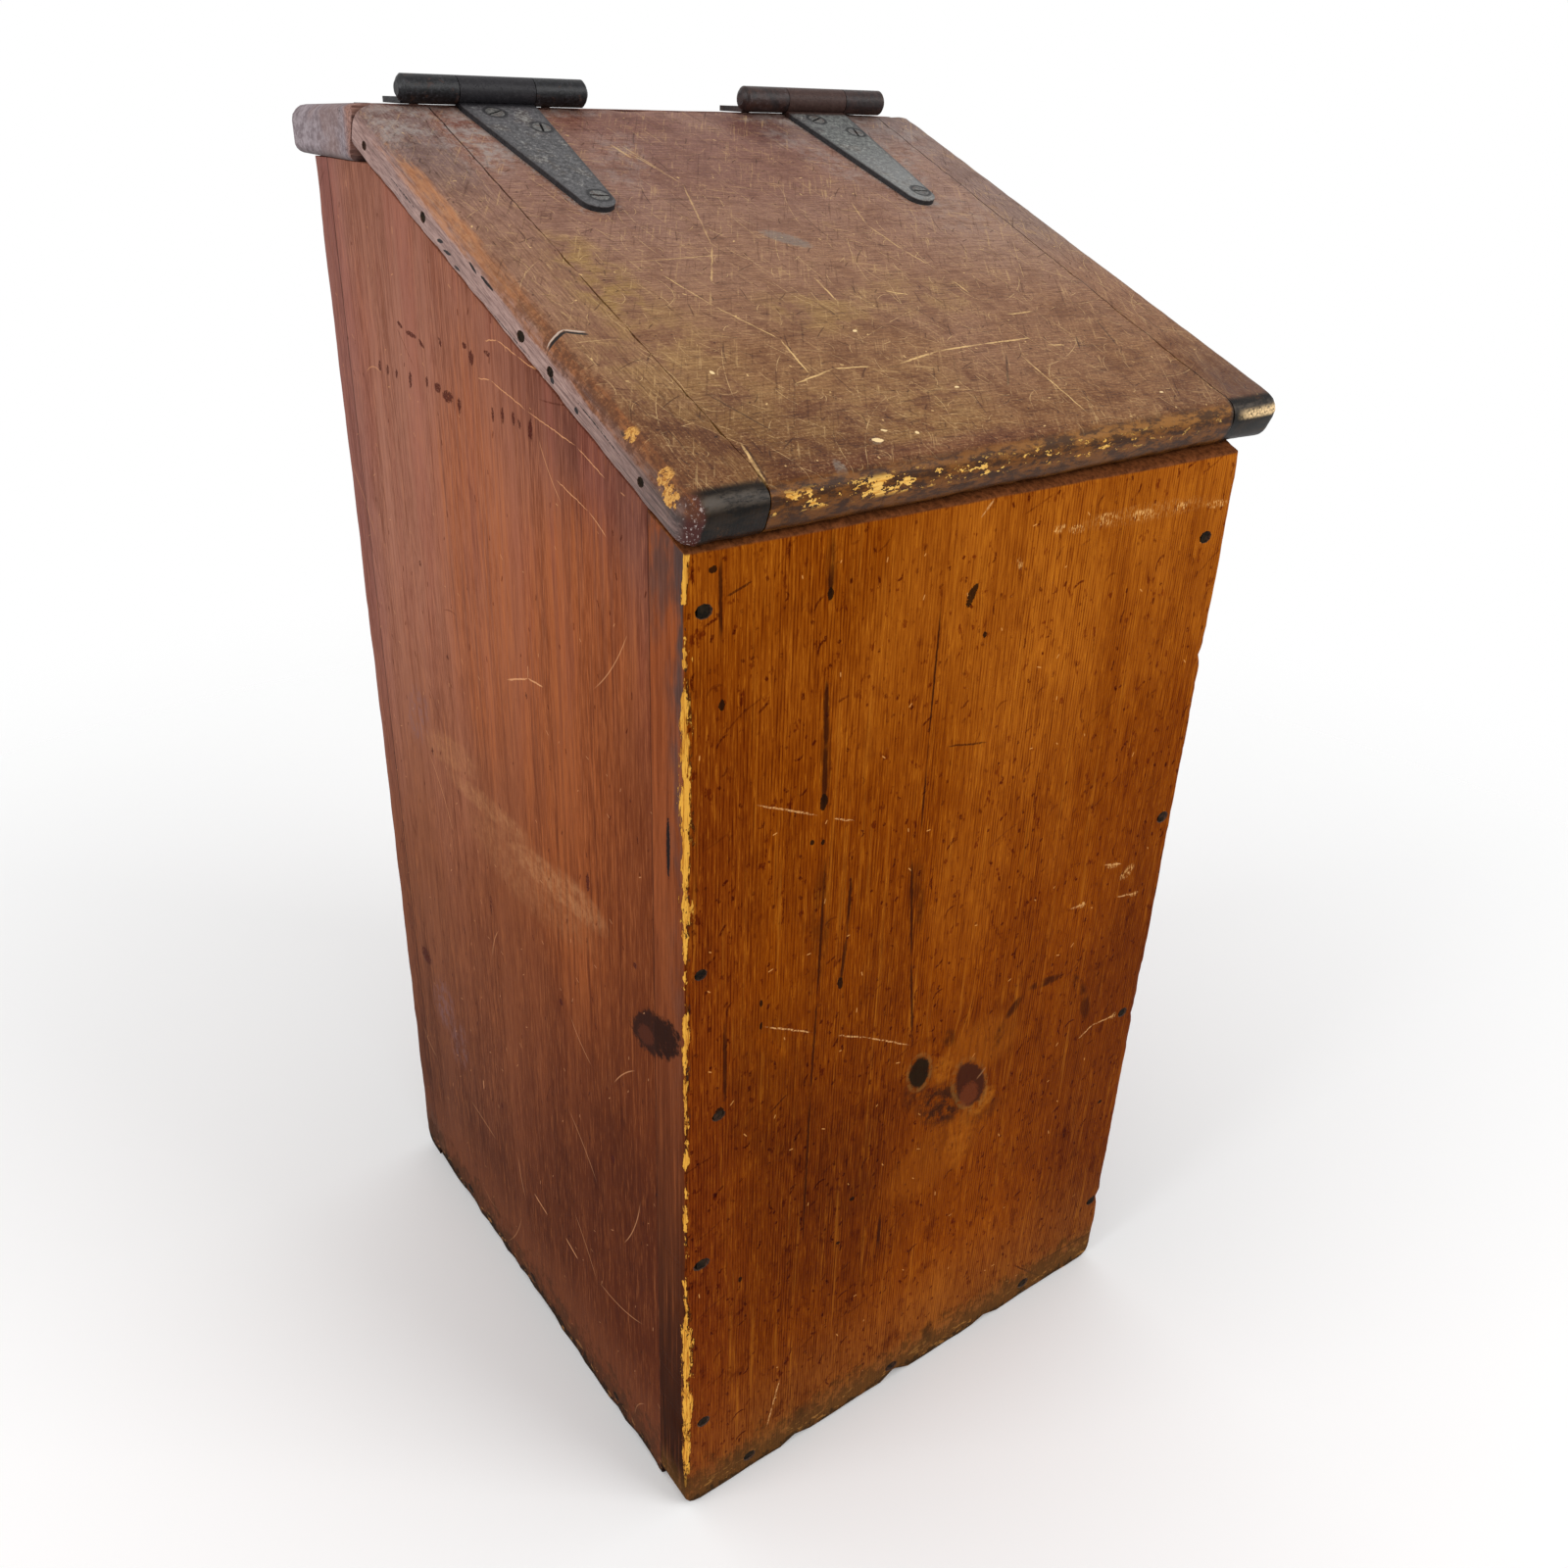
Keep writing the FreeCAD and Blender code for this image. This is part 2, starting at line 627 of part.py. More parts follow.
save("front_board", [make_front_board(front_pockets + bottom_pockets)])
save("back_board", [make_back_board(back_pockets + bottom_pockets + rail_pockets)])
save("left_side_board", [make_side_board(left_face, inner_left, left_face,
                                         front_pockets + back_pockets + bottom_pockets
                                         + rail_pockets)])
save("right_side_board", [make_side_board(inner_right, right_face, right_face,
                                          front_pockets + back_pockets + bottom_pockets
                                          + rail_pockets)])
save("bottom_board", [make_bottom_board(bottom_pockets)])
save("top_rail", [make_rail(rail_pockets + rail_holes)])
save("front_board_nails", front_nails)
save("back_board_nails", back_nails)
save("bottom_board_nails", bottom_nails)
save("rail_nails", rail_nails)
save("lid_panel", [lean(panel)])
save("left_lid_batten", [lean(left_batten)])
save("right_lid_batten", [lean(right_batten)])
save("left_batten_nails", [lean(nail) for nail in left_nails])
save("right_batten_nails", [lean(nail) for nail in right_nails])
for side in hinge_insets:
    save(side + "_hinge_rail_leaf", [rail_leaves[side]])
    save(side + "_hinge_pin", [pins[side]])
    save(side + "_rail_leaf_screws", rail_screws[side])
    save(side + "_hinge_strap", [lean(straps[side])])
    save(side + "_strap_screws", [lean(screw) for screw in strap_screws[side]])
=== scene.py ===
"""Looks of a small slant-top grain bin: worn pine boards, cut nails and two iron T-hinges.

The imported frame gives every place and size. Wooden pieces are modelled again here, with worn
edges, nail holes and dents, and stand for their plain CAD boards; the ironwork gets its finish.
"""

import math

import bmesh
import bpy
from bpy.props import FloatProperty, FloatVectorProperty, PointerProperty
from mathutils import Matrix, Vector


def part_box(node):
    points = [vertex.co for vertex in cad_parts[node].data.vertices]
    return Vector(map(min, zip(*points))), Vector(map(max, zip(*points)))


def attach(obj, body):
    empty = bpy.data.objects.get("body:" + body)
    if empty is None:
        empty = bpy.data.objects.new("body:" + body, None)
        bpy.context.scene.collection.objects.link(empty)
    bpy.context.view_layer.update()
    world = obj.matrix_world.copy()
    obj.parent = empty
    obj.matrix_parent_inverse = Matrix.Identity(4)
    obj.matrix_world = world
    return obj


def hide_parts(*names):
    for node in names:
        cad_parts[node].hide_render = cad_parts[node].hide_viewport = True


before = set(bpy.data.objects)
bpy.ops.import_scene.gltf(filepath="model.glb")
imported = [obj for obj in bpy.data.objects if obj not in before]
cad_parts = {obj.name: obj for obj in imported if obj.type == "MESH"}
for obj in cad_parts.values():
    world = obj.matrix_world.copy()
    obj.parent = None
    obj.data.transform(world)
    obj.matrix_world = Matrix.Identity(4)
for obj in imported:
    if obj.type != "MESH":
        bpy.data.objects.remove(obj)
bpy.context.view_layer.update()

bl_info = {
    "name": "Slant-top grain bin",
    "version": (1, 0, 0),
    "blender": (4, 5, 0),
    "location": "View3D > Sidebar > Grain bin",
    "description": "Builds a worn pine grain bin round its packed frame",
    "category": "Object",
}

MM = 0.001

# The box's faces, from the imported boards.
LEFT, FRONT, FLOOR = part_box("front_board")[0]
RIGHT, INNER_FRONT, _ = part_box("front_board")[1]
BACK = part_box("back_board")[1].y
INNER_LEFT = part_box("left_side_board")[1].x
INNER_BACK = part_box("back_board")[0].y
WALL_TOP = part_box("back_board")[1].z
FRONT_TOP = 500 * MM
KNEE = 93.4 * MM  # where the side boards' top edges turn level
LID_SLOPE = math.atan2(WALL_TOP - FRONT_TOP, KNEE - FRONT)

# The lid's own frame: across, up the slope and square to it.
LID_ORIGIN = Vector((0, FRONT, FRONT_TOP))
LID_FRAME = Matrix.Translation(LID_ORIGIN) @ Matrix.Rotation(LID_SLOPE, 4, "X")
ABOVE_LID = (0, -math.sin(LID_SLOPE), math.cos(LID_SLOPE))
LID_UNDER = 0.2 * MM
LID_TOP = 20.2 * MM
LID_BACK = 286.5 * MM
LID_FRONT_LEFT = -1.7 * MM
LID_FRONT_RIGHT = 4.7 * MM
LID_LEFT = LEFT - 3 * MM
LID_RIGHT_FRONT = RIGHT + 25 * MM
LID_RIGHT_BACK = RIGHT + 16 * MM
LEFT_SEAM = LEFT + 31 * MM
RIGHT_SEAM = RIGHT - 11 * MM
SEAM_GAP = 0.08 * MM

# The hinges' middles, and the strap screws' heads on the lid: across and up the slope.
HINGES = (-86 * MM, 93.5 * MM)
STRAP_SCREWS = ((-5, 275.5), (11, 261.5), (7, 199))

# How far a strap leans to the right and each of its sides draws in, per length down the lid.
STRAP_LEAN = 0.045
STRAP_TAPER = 0.112

# The knot that shows on both pieces at the left front corner: y, z, half sizes and degrees.
SIDE_KNOT = (-138, 284.5, 27, 13.5, -27)
CAMERA_PLACE = (-378.128 * MM, -524.879 * MM, 638.159 * MM)


def tone(red, green, blue):
    """A colour given as 0 to 255 on screen, as linear light."""
    return tuple(
        value / 255 / 12.92 if value <= 10.31 else ((value / 255 + 0.055) / 1.055) ** 2.4
        for value in (red, green, blue)
    )


def colour(name, description, red, green, blue):
    return FloatVectorProperty(
        name=name,
        description=description,
        subtype="COLOR",
        size=3,
        min=0,
        max=1,
        default=tone(red, green, blue),
    )


def length(name, description, millimetres):
    return FloatProperty(
        name=name,
        description=description,
        subtype="DISTANCE",
        unit="LENGTH",
        min=0,
        default=millimetres * MM,
    )


class WoodSettings(bpy.types.PropertyGroup):
    """Tones of the boards and of what age has left on them."""

    varnish_dark: colour("Varnish, low", "Front board, lower left", 104, 44, 3)
    varnish: colour("Varnish", "Front board, middle tone", 134, 63, 2)
    varnish_light: colour("Varnish, high", "Front board, upper right", 176, 99, 22)
    stain_dark: colour("Stain, low", "Side and back boards, low down", 84, 36, 12)
    stain: colour("Stain", "Side and back boards, middle tone", 122, 60, 25)
    stain_light: colour("Stain, high", "Side and back boards, upper end", 154, 84, 44)
    # Partly fading of the stain, partly painted sheen: the paler, cooler tone towards the back and top.
    faded_stain_and_sheen: colour("Faded stain", "Side and back boards, towards the back", 128, 80, 57)
    lid_front: colour("Lid, front", "Lid boards, at the front", 132, 88, 50)
    lid: colour("Lid", "Lid boards, middle tone", 144, 104, 79)
    lid_back: colour("Lid, back", "Lid boards, near the hinges", 139, 102, 91)
    raw: colour("Raw wood", "Unfinished insides and underside", 176, 140, 98)
    bare: colour("Bare wood", "Where the finish has chipped off", 226, 166, 66)
    grime: colour("Grime", "Dirt that gathers low down and in corners", 44, 34, 22)
    scratch: colour("Scratch", "Fresh pale scratches", 205, 150, 92)


class IronSettings(bpy.types.PropertyGroup):
    """Tones of the ironwork."""

    black: colour("Blackened iron", "Knuckles and pins", 28, 28, 32)
    worn: colour("Worn iron", "Straps and screw heads", 124, 126, 122)
    rust: colour("Rust", "Old brown rust", 72, 48, 38)


class ShapeSettings(bpy.types.PropertyGroup):
    """How far age has rounded the boards."""

    arris: length("Arris", "Rounding of the walls' edges", 1.0)
    wear_depth: length("Wear depth", "How deep the edges are chipped", 0.9)
    hole_radius: length("Nail hole", "Radius of the holes over the nail heads", 3.1)
    hole_depth: length("Hole depth", "How deep the nail holes are", 1.1)


class StageSettings(bpy.types.PropertyGroup):
    """Floor, lamps and camera."""

    floor: FloatVectorProperty(
        name="Floor",
        description="Colour of the floor",
        subtype="COLOR",
        size=3,
        min=0,
        max=1,
        default=(0.96, 0.96, 0.96),
    )
    sky: FloatProperty(name="Sky", description="Strength of the even light", min=0, default=0.72)
    key: FloatProperty(
        name="Key lamp", description="Power of the large lamp", min=0, default=34, unit="POWER"
    )
    azimuth: FloatProperty(
        name="Azimuth",
        description="Where the camera stands round the bin",
        subtype="ANGLE",
        default=math.radians(-37.11),
    )
    elevation: FloatProperty(
        name="Elevation",
        description="How far the camera looks down",
        subtype="ANGLE",
        default=math.radians(27.52),
    )
    roll: FloatProperty(
        name="Roll", description="Turn of the picture", subtype="ANGLE", default=math.radians(2.13)
    )
    lens: FloatProperty(name="Lens", description="Focal length in millimetres", default=30.62)


class BinSettings(bpy.types.PropertyGroup):
    """All settings of the grain bin."""

    wood: PointerProperty(type=WoodSettings)
    iron: PointerProperty(type=IronSettings)
    shape: PointerProperty(type=ShapeSettings)
    stage: PointerProperty(type=StageSettings)


# ---- materials ----------------------------------------------------------------------


class Field:
    """One value that changes over a surface; arithmetic on it adds Math nodes."""

    def __init__(self, graph, socket):
        self.graph = graph
        self.socket = socket

    def __add__(self, other):
        return self.graph.maths("ADD", self, other)

    __radd__ = __add__

    def __sub__(self, other):
        return self.graph.maths("SUBTRACT", self, other)

    def __rsub__(self, other):
        return self.graph.maths("SUBTRACT", other, self)

    def __mul__(self, other):
        return self.graph.maths("MULTIPLY", self, other)

    __rmul__ = __mul__

    def __truediv__(self, other):
        return self.graph.maths("DIVIDE", self, other)

    def __abs__(self):
        return self.graph.maths("ABSOLUTE", self)

    def most(self, other):
        return self.graph.maths("MAXIMUM", self, other)

    def least(self, other):
        return self.graph.maths("MINIMUM", self, other)

    def ramp(self, low, high):
        """Smooth step: 0 at low, 1 at high, whichever is the larger."""
        rising = low < high
        start, end = (low, high) if rising else (high, low)
        return self.graph.node(
            "ShaderNodeMapRange",
            {"interpolation_type": "SMOOTHSTEP"},
            {0: self, 1: start, 2: end, 3: 0 if rising else 1, 4: 1 if rising else 0},
        )


class Graph:
    """The node tree of one material, with a Principled shader at its end."""

    def __init__(self, name):
        self.material = bpy.data.materials.new(name)
        self.material.use_nodes = True
        self.tree = self.material.node_tree
        self.shader = self.tree.nodes["Principled BSDF"]
        self.object_place = self.node("ShaderNodeTexCoord", output="Object")
        self.coat = None

    def node(self, kind, settings=None, sockets=None, output=0):
        """Add a node: its settings first, then its sockets' values or links."""
        made = self.tree.nodes.new(kind)
        for name, value in (settings or {}).items():
            if name == "stops":
                self.set_stops(made.color_ramp, value)
            else:
                setattr(made, name, value)
        for name, value in (sockets or {}).items():
            if isinstance(value, Field):
                self.tree.links.new(value.socket, made.inputs[name])
            else:
                made.inputs[name].default_value = value
        return Field(self, made.outputs[output])

    @staticmethod
    def set_stops(ramp, stops):
        while len(ramp.elements) < len(stops):
            ramp.elements.new(1)
        for element, (place, value) in zip(ramp.elements, stops):
            element.position = place
            element.color = (value, value, value, 1) if isinstance(value, float) else (*value, 1)

    def maths(self, operation, *values):
        return self.node("ShaderNodeMath", {"operation": operation}, dict(enumerate(values)))

    def axes(self, place=None):
        """The three parts of a place, in metres."""
        split = self.tree.nodes.new("ShaderNodeSeparateXYZ")
        self.tree.links.new((place or self.object_place).socket, split.inputs[0])
        return [Field(self, socket) for socket in split.outputs]

    def place(self, x, y, z):
        return self.node("ShaderNodeCombineXYZ", None, {0: x, 1: y, 2: z})

    def seen_from(self, origin=(0, 0, 0), turn=(0, 0, 0), size=(1, 1, 1), place=None):
        """A place measured in a frame of its own: moved, turned and scaled."""
        return self.node(
            "ShaderNodeMapping",
            {"vector_type": "TEXTURE"},
            {"Vector": place or self.object_place, "Location": origin, "Rotation": turn, "Scale": size},
        )

    def lid_axes(self):
        """The place in the lid's own frame, whole and as across, up the slope and above."""
        flat = self.seen_from(LID_ORIGIN, (LID_SLOPE, 0, 0))
        return flat, *self.axes(flat)

    def stretched(self, x=1.0, y=1.0, z=1.0, place=None):
        """Coordinates squeezed along some axes, so that a pattern on them is drawn out."""
        return self.node(
            "ShaderNodeMapping",
            {"vector_type": "POINT"},
            {"Vector": place or self.object_place, "Scale": (x, y, z)},
        )

    def noise(self, place, scale, detail=2.0, roughness=0.5, output=0):
        sockets = {"Vector": place, "Scale": scale, "Detail": detail, "Roughness": roughness}
        return self.node("ShaderNodeTexNoise", None, sockets, output)

    def waves(self, place, spacing, axis):
        """Even lines square to an axis, a set distance apart, bent by noise."""
        settings = {"wave_type": "BANDS", "bands_direction": axis, "wave_profile": "SIN"}
        sockets = {"Vector": place, "Scale": math.pi / 10 / spacing}
        sockets.update({"Distortion": 8.0, "Detail": 2.0, "Detail Scale": 0.22})
        return self.node("ShaderNodeTexWave", settings, sockets, "Fac")

    def strokes(self, place, cell, reach, width, keep, lean=0, spread=180, bend=0.0, shift=0.0):
        """Random strokes on a flat place, one at most to each square cell. Sizes are in
        millimetres; keep is the share of cells that have one, lean and spread are its
        direction, and bend makes it an arc."""
        local = self.seen_from((shift, 0.37 * shift, 0), (0, 0, 0), (cell * MM,) * 3, place)
        middle = self.node(
            "ShaderNodeTexVoronoi",
            {"voronoi_dimensions": "2D"},
            {"Vector": local, "Scale": 1.0, "Randomness": 0.8},
            "Position",
        )
        chance = Field(self, middle.socket.node.outputs["Color"])
        turn, kept, size = self.axes(chance)
        offset = self.node("ShaderNodeVectorMath", {"operation": "SUBTRACT"}, {0: local, 1: middle})
        right, forth, _ = self.axes(offset)
        angle = turn * math.radians(spread) + math.radians(lean)
        cosine = self.maths("COSINE", angle)
        sine = self.maths("SINE", angle)
        along = (right * cosine + forth * sine) / (size * 0.6 + 0.4)
        aside = forth * cosine - right * sine
        if bend:
            aside = aside + along * along * (size - 0.5) * bend
        line = abs(aside * (cell / width)).ramp(1.0, 0.4) * abs(along * (cell / reach)).ramp(1.0, 0.5)
        return line * kept.ramp(1 - keep, 1.02 - keep)

    def cells(self, place, scale):
        return self.node("ShaderNodeTexVoronoi", None, {"Vector": place, "Scale": scale}, "Distance")

    def mix(self, factor, low, high, blend="MIX"):
        """Mix two colours; each is a colour field or three numbers."""
        sockets = {0: factor}
        for index, value in ((6, low), (7, high)):
            sockets[index] = value if isinstance(value, Field) else (*value, 1)
        return self.node("ShaderNodeMix", {"data_type": "RGBA", "blend_type": blend}, sockets, output=2)

    def tones(self, factor, *stops):
        """A colour ramp; each stop is a place and a colour."""
        return self.node("ShaderNodeValToRGB", {"stops": stops}, {0: factor})

    def level(self, factor, *stops):
        """A profile of plain numbers from 0 to 1, read from a ramp."""
        return self.tones(factor, *[(place, float(value)) for place, value in stops])

    def slant(self, plane, across, up, start):
        """A value that grows evenly across a plane, whose third part is 1."""
        return self.node(
            "ShaderNodeVectorMath",
            {"operation": "DOT_PRODUCT"},
            {0: plane, 1: (across, up, start)},
            "Value",
        )

    def marks(self, plane, marks, blunt=False):
        """A mask of soft ellipses. Each mark is (x, y, half width, half height, degrees)
        with an optional strength, in millimetres on the plane. Blunt ones taper less."""
        total = None
        for x, y, half_width, half_height, degrees, *strength in marks:
            cosine = math.cos(math.radians(degrees))
            sine = math.sin(math.radians(degrees))
            wide = half_width * MM
            tall = half_height * MM
            along = (x * cosine + y * sine) * MM
            aside = (y * cosine - x * sine) * MM
            one = self.slant(plane, cosine / wide, sine / wide, -along / wide)
            two = self.slant(plane, -sine / tall, cosine / tall, -aside / tall)
            one = one * one if blunt else one
            away = self.maths("MULTIPLY_ADD", one, one, two * two)
            mark = away.ramp(1.0, 0.2)
            if strength:
                mark = mark * strength[0]
            total = mark if total is None else total.most(mark)
        return total or self.maths("ADD", 0.0, 0.0)

    def torn(self, mask, rag, soft=0.12, gain=2.0):
        """A soft mask's area with a ragged rim, broken up by a noise."""
        broken = self.maths("MULTIPLY_ADD", rag, gain, mask - 0.5 * gain - 0.5)
        return broken.ramp(-soft, soft) * mask.ramp(0.0, 0.25)

    def lines(self, plane, lines):
        """A mask of thin tapering strokes. Each line is (width, x, y, x, y, ...), in
        millimetres on the plane, with a stroke from each point to the next."""
        marks = []
        for width, *points in lines:
            places = list(zip(points[::2], points[1::2]))
            for (ax, ay), (bx, by) in zip(places, places[1:]):
                run = math.hypot(bx - ax, by - ay)
                degrees = math.degrees(math.atan2(by - ay, bx - ax))
                marks.append(((ax + bx) / 2, (ay + by) / 2, run / 2 + 1.2 * width, width, degrees))
        return self.marks(plane, marks, True)

    def paint(self, share, colour, blend="MIX"):
        """Lay a colour over the coat so far, by a share from 0 to 1."""
        self.coat = self.mix(share, self.coat, colour, blend)

    def shade(self, share, tint):
        """Darken the coat so far with a tint, by a share from 0 to 1."""
        self.paint(share, tint, "MULTIPLY")

    def finish(self, roughness, height, depth, specular=0.5):
        """Link the coat, the roughness and a bump of this depth, and set the constant shine."""
        inputs = self.shader.inputs
        inputs["Specular IOR Level"].default_value = specular
        bump = self.node("ShaderNodeBump", None, {"Strength": 1.0, "Distance": depth * MM, "Height": height})
        for name, value in (("Base Color", self.coat), ("Roughness", roughness), ("Normal", bump)):
            if isinstance(value, Field):
                self.tree.links.new(value.socket, inputs[name])
            else:
                inputs[name].default_value = value
        return self.material


def plane_of(graph, across, up, wobble=1.2):
    """Two axes as a flat plane to mark on, wobbled a little so that no mark is even."""
    flat = graph.place(across, up, 1.0)
    ripple = graph.noise(graph.object_place, 260, 2.0, 0.6, output="Color")
    return graph.node(
        "ShaderNodeVectorMath",
        {"operation": "MULTIPLY_ADD"},
        {0: ripple, 1: (wobble * MM, wobble * MM, 0), 2: flat},
    )


def wood_grain(graph, place, along, spacing=1.5, lines=None, reach=0.055):
    """Growth lines, fibres, streaks and short dark pores of a board, each from 0 to 1.
    The place is given with the grain along one of its axes."""
    drawn = lines or graph.stretched(**{along: 0.03}, place=place)
    short = graph.stretched(**{along: reach}, place=place)
    across = "Y" if along == "x" else "X"
    fibre = graph.noise(short, 1250, 3.0, 0.75)
    growth = graph.waves(drawn, spacing * MM, across)
    growth = growth.ramp(0.25, 0.9) * fibre.ramp(0.66, 0.40)
    streaks = graph.noise(drawn, 330, 3.0, 0.7)
    pores = graph.noise(short, 620, 1.0, 0.5)
    return growth, fibre, streaks, pores.ramp(0.33, 0.25)


def front_pine(wood):
    """Glossy orange-brown varnish, with streaks, knots and a chipped near edge."""
    g = Graph("varnished_front_pine")
    x, y, z = g.axes()
    plane = plane_of(g, x, z)
    flat = g.place(x, z, 1.0)
    on_face = y.ramp(FRONT + 2.5 * MM, FRONT + 1.6 * MM)

    # Broad tone: lighter and yellower above and to the right, and again near the foot. The paler upper right
    # is partly painted sheen, and the darker low part, most of all on the right, partly painted shade.
    patch = g.noise(g.stretched(z=0.35), 22, 3.0, 0.6)
    tone_at = z.ramp(0.18, 0.54) * 0.62 + x.ramp(-0.10, 0.03) * 0.26 + patch * 0.9 - 0.42
    tone_at = tone_at + z.ramp(0.130, 0.04) * 0.24 + z.ramp(0.38, 0.30) * z.ramp(0.22, 0.28) * 0.14
    shaded = z.ramp(0.43, 0.33) * 0.30 - z.ramp(0.33, 0.19) * 0.15
    shaded = shaded + z.ramp(0.15, 0.07) * 0.27 - z.ramp(0.05, 0.02) * 0.14
    tone_at = tone_at - x.ramp(0.06, 0.13) * shaded
    g.coat = g.tones(tone_at, (0.0, wood.varnish_dark), (0.5, wood.varnish), (1.0, wood.varnish_light))
    g.paint(z.ramp(0.10, 0.01) * 0.5, tone(128, 78, 36))
    red_edge = x.ramp(-0.100, -0.148) * z.ramp(0.52, 0.36) * 0.4
    g.paint(red_edge, tone(112, 44, 14))

    # The grain parts round the two knots.
    pushed = x
    for knot_x, knot_z, reach in ((-14.3, 220.8, 15), (21.2, 196.9, 24)):
        near = g.marks(flat, [(knot_x, knot_z, reach, reach * 2.4, 0)])
        pushed = pushed - (x - knot_x * MM) * near * 0.72
    drawn = g.place(pushed, y, z * 0.03)
    growth, fibre, streaks, pores = wood_grain(g, g.object_place, "z", 1.55, drawn)
    inside = y.ramp(INNER_FRONT - 1.2 * MM, INNER_FRONT - 0.4 * MM)
    inside = inside * (x - LEFT).least(RIGHT - x).ramp(0.6 * MM, 2.0 * MM)
    g.paint(inside, g.mix(patch.ramp(0.3, 0.7), tone(164, 126, 84), wood.raw))
    clear = g.noise(g.stretched(z=0.12), 34, 2.0, 0.5).ramp(0.30, 0.66)
    g.shade(growth * (0.55 + 0.40 * clear), (0.50, 0.34, 0.18))
    g.shade(fibre.ramp(0.50, 0.34) * 0.50, (0.60, 0.46, 0.30))
    g.paint(fibre.ramp(0.52, 0.72) * (0.22 + 0.2 * z.ramp(0.2, 0.4)), tone(206, 126, 30))
    g.shade(streaks.ramp(0.50, 0.32) * 0.50, (0.62, 0.46, 0.30))
    g.paint(streaks.ramp(0.56, 0.74) * 0.22, tone(206, 128, 34))
    g.shade(pores * 0.45, (0.46, 0.32, 0.20))

    # Small brown nicks and rubs all over, then pale ticks.
    nicks = g.strokes(flat, 10, 2.0, 0.95, 0.50, 40, 100, 0.9)
    nicks = nicks.most(g.strokes(flat, 21, 5.0, 0.80, 0.6, 15, 90, 5.0, 0.113))
    nicks = nicks.most(g.strokes(flat, 52, 15, 0.60, 0.5, 12, 40, 1.2, 0.271) * 0.55)
    rag = g.noise(g.object_place, 900, 3.0, 0.75)
    patchy = g.noise(g.object_place, 38, 2.0, 0.6).ramp(0.38, 0.56) * 0.65 + 0.45
    nicks = nicks * rag.ramp(0.36, 0.50) * patchy
    g.shade(nicks * 0.95 * on_face, (0.36, 0.19, 0.12))
    smudge = g.noise(g.stretched(1.0, 1.0, 0.6), 75, 4.0, 0.72)
    smudged = smudge.ramp(0.54, 0.69) * (0.34 + 0.40 * z.ramp(0.30, 0.16))
    g.shade(smudged, (0.52, 0.36, 0.24))
    dapple = g.noise(g.stretched(1.0, 1.0, 0.55), 230, 3.0, 0.7).ramp(0.59, 0.67)
    g.shade(dapple * patchy * 0.85, (0.50, 0.30, 0.24))
    ticks = g.strokes(flat, 21, 1.7, 0.34, 0.30, shift=0.417)
    g.paint(ticks * 0.75 * on_face, tone(222, 156, 84))

    # Knots with a paler halo and a stained arc round them.
    halo = g.marks(plane, [(30, 218, 30, 20, -15, 0.35), (6, 158, 44, 26, 15, 0.25)])
    g.paint(halo, tone(150, 80, 14))
    ragged = g.noise(g.object_place, 240, 4.0, 0.75)
    shadows = [(4, 190, 24, 15, -35, 1.0), (-14, 212, 12, 18, -12, 0.6), (34, 172, 18, 10, 0, 0.4)]
    shadow = g.marks(plane, shadows)
    g.paint(shadow * ragged.ramp(0.34, 0.60), tone(56, 26, 11))
    glow = g.marks(plane, [(33.0, 178, 12, 9.0, 30), (2, 214, 9, 11, 0, 0.7), (20, 160, 12, 24, 0, 0.5)])
    g.paint(glow * ragged.ramp(0.34, 0.66) * 0.7, tone(170, 98, 22))
    rings = g.marks(plane, [(-14.1, 218.9, 14.4, 9.8, 99.8), (22.2, 194.5, 24.5, 13.4, 116)])
    g.paint(rings.ramp(0.1, 0.4) * ragged.ramp(0.40, 0.56) * 0.5, tone(134, 88, 40))
    knots = g.marks(plane, [(-14.1, 218.9, 12.4, 8.1, 99.8), (22.6, 195.0, 22.0, 11.6, 116)])
    dark_heart = g.mix(x.ramp(0.0, 0.006), tone(24, 17, 9), tone(58, 25, 15))
    g.paint(g.torn(knots, ragged, 0.25, 1.6) * 0.94, dark_heart)
    heart = g.marks(plane, [(22.6, 188.0, 10.0, 8.0, 110)])
    g.paint(g.torn(heart, rag, 0.4, 3.0) * 0.6, tone(108, 52, 26))
    g.paint(g.marks(plane, [(30.0, 198.0, 4.5, 0.9, 40)]) * 0.5, tone(160, 112, 74))

    streak_break = g.noise(g.stretched(z=0.3), 95, 2.0, 0.6).ramp(0.28, 0.50)
    stains = g.lines(plane, [
        (1, -133.2, 498.5, -132.6, 461), (1.5, -85.5, 499, -84.4, 474),
        (1.6, -84.1, 440, -82.9, 412, -82.4, 388), (0.7, -28.1, 461, -28.2, 402, -27.5, 356),
        (0.8, -79.8, 362, -80.3, 290, -81.3, 239, -81.1, 145), (1.2, -65.4, 347, -65.9, 317, -67.6, 295),
        (1, -31.7, 346, -26.5, 290, -20.1, 235), (1.2, -128.5, 299, -127.8, 256),
        (1.4, -31.6, 136, -30.8, 96),
    ])
    g.paint(stains * streak_break * 0.85 * on_face, tone(48, 16, 5))
    smears = g.marks(plane, [
        (-26.5, 322, 6, 26, 4, 0.5), (-80.5, 330, 6.5, 34, 2, 0.4), (-82.5, 404, 3.6, 24, 2, 0.45),
        (-85, 486, 3.6, 16, 2, 0.45), (-108, 255, 26, 60, 8, 0.22), (-60, 178, 34, 44, 20, 0.2),
        (39.5, 217, 4, 12, -14, 0.8), (48, 232, 3.6, 9, -44, 0.8), (70, 239, 15, 3.4, -4, 0.85),
        (97, 226, 4, 13, 35, 0.85), (105, 208, 5, 11, 12, 0.7), (4, 232, 5, 8, 30, 0.7),
        (12.7, 15.7, 5, 16, 0, 0.8), (-76, 17.6, 11, 10, 0, 0.7), (-112, 12, 12, 8, 0, 0.6),
    ])
    soft_break = g.noise(g.stretched(z=0.5), 170, 3.0, 0.7).ramp(0.30, 0.62)
    g.paint(smears * soft_break * on_face, tone(50, 18, 4))
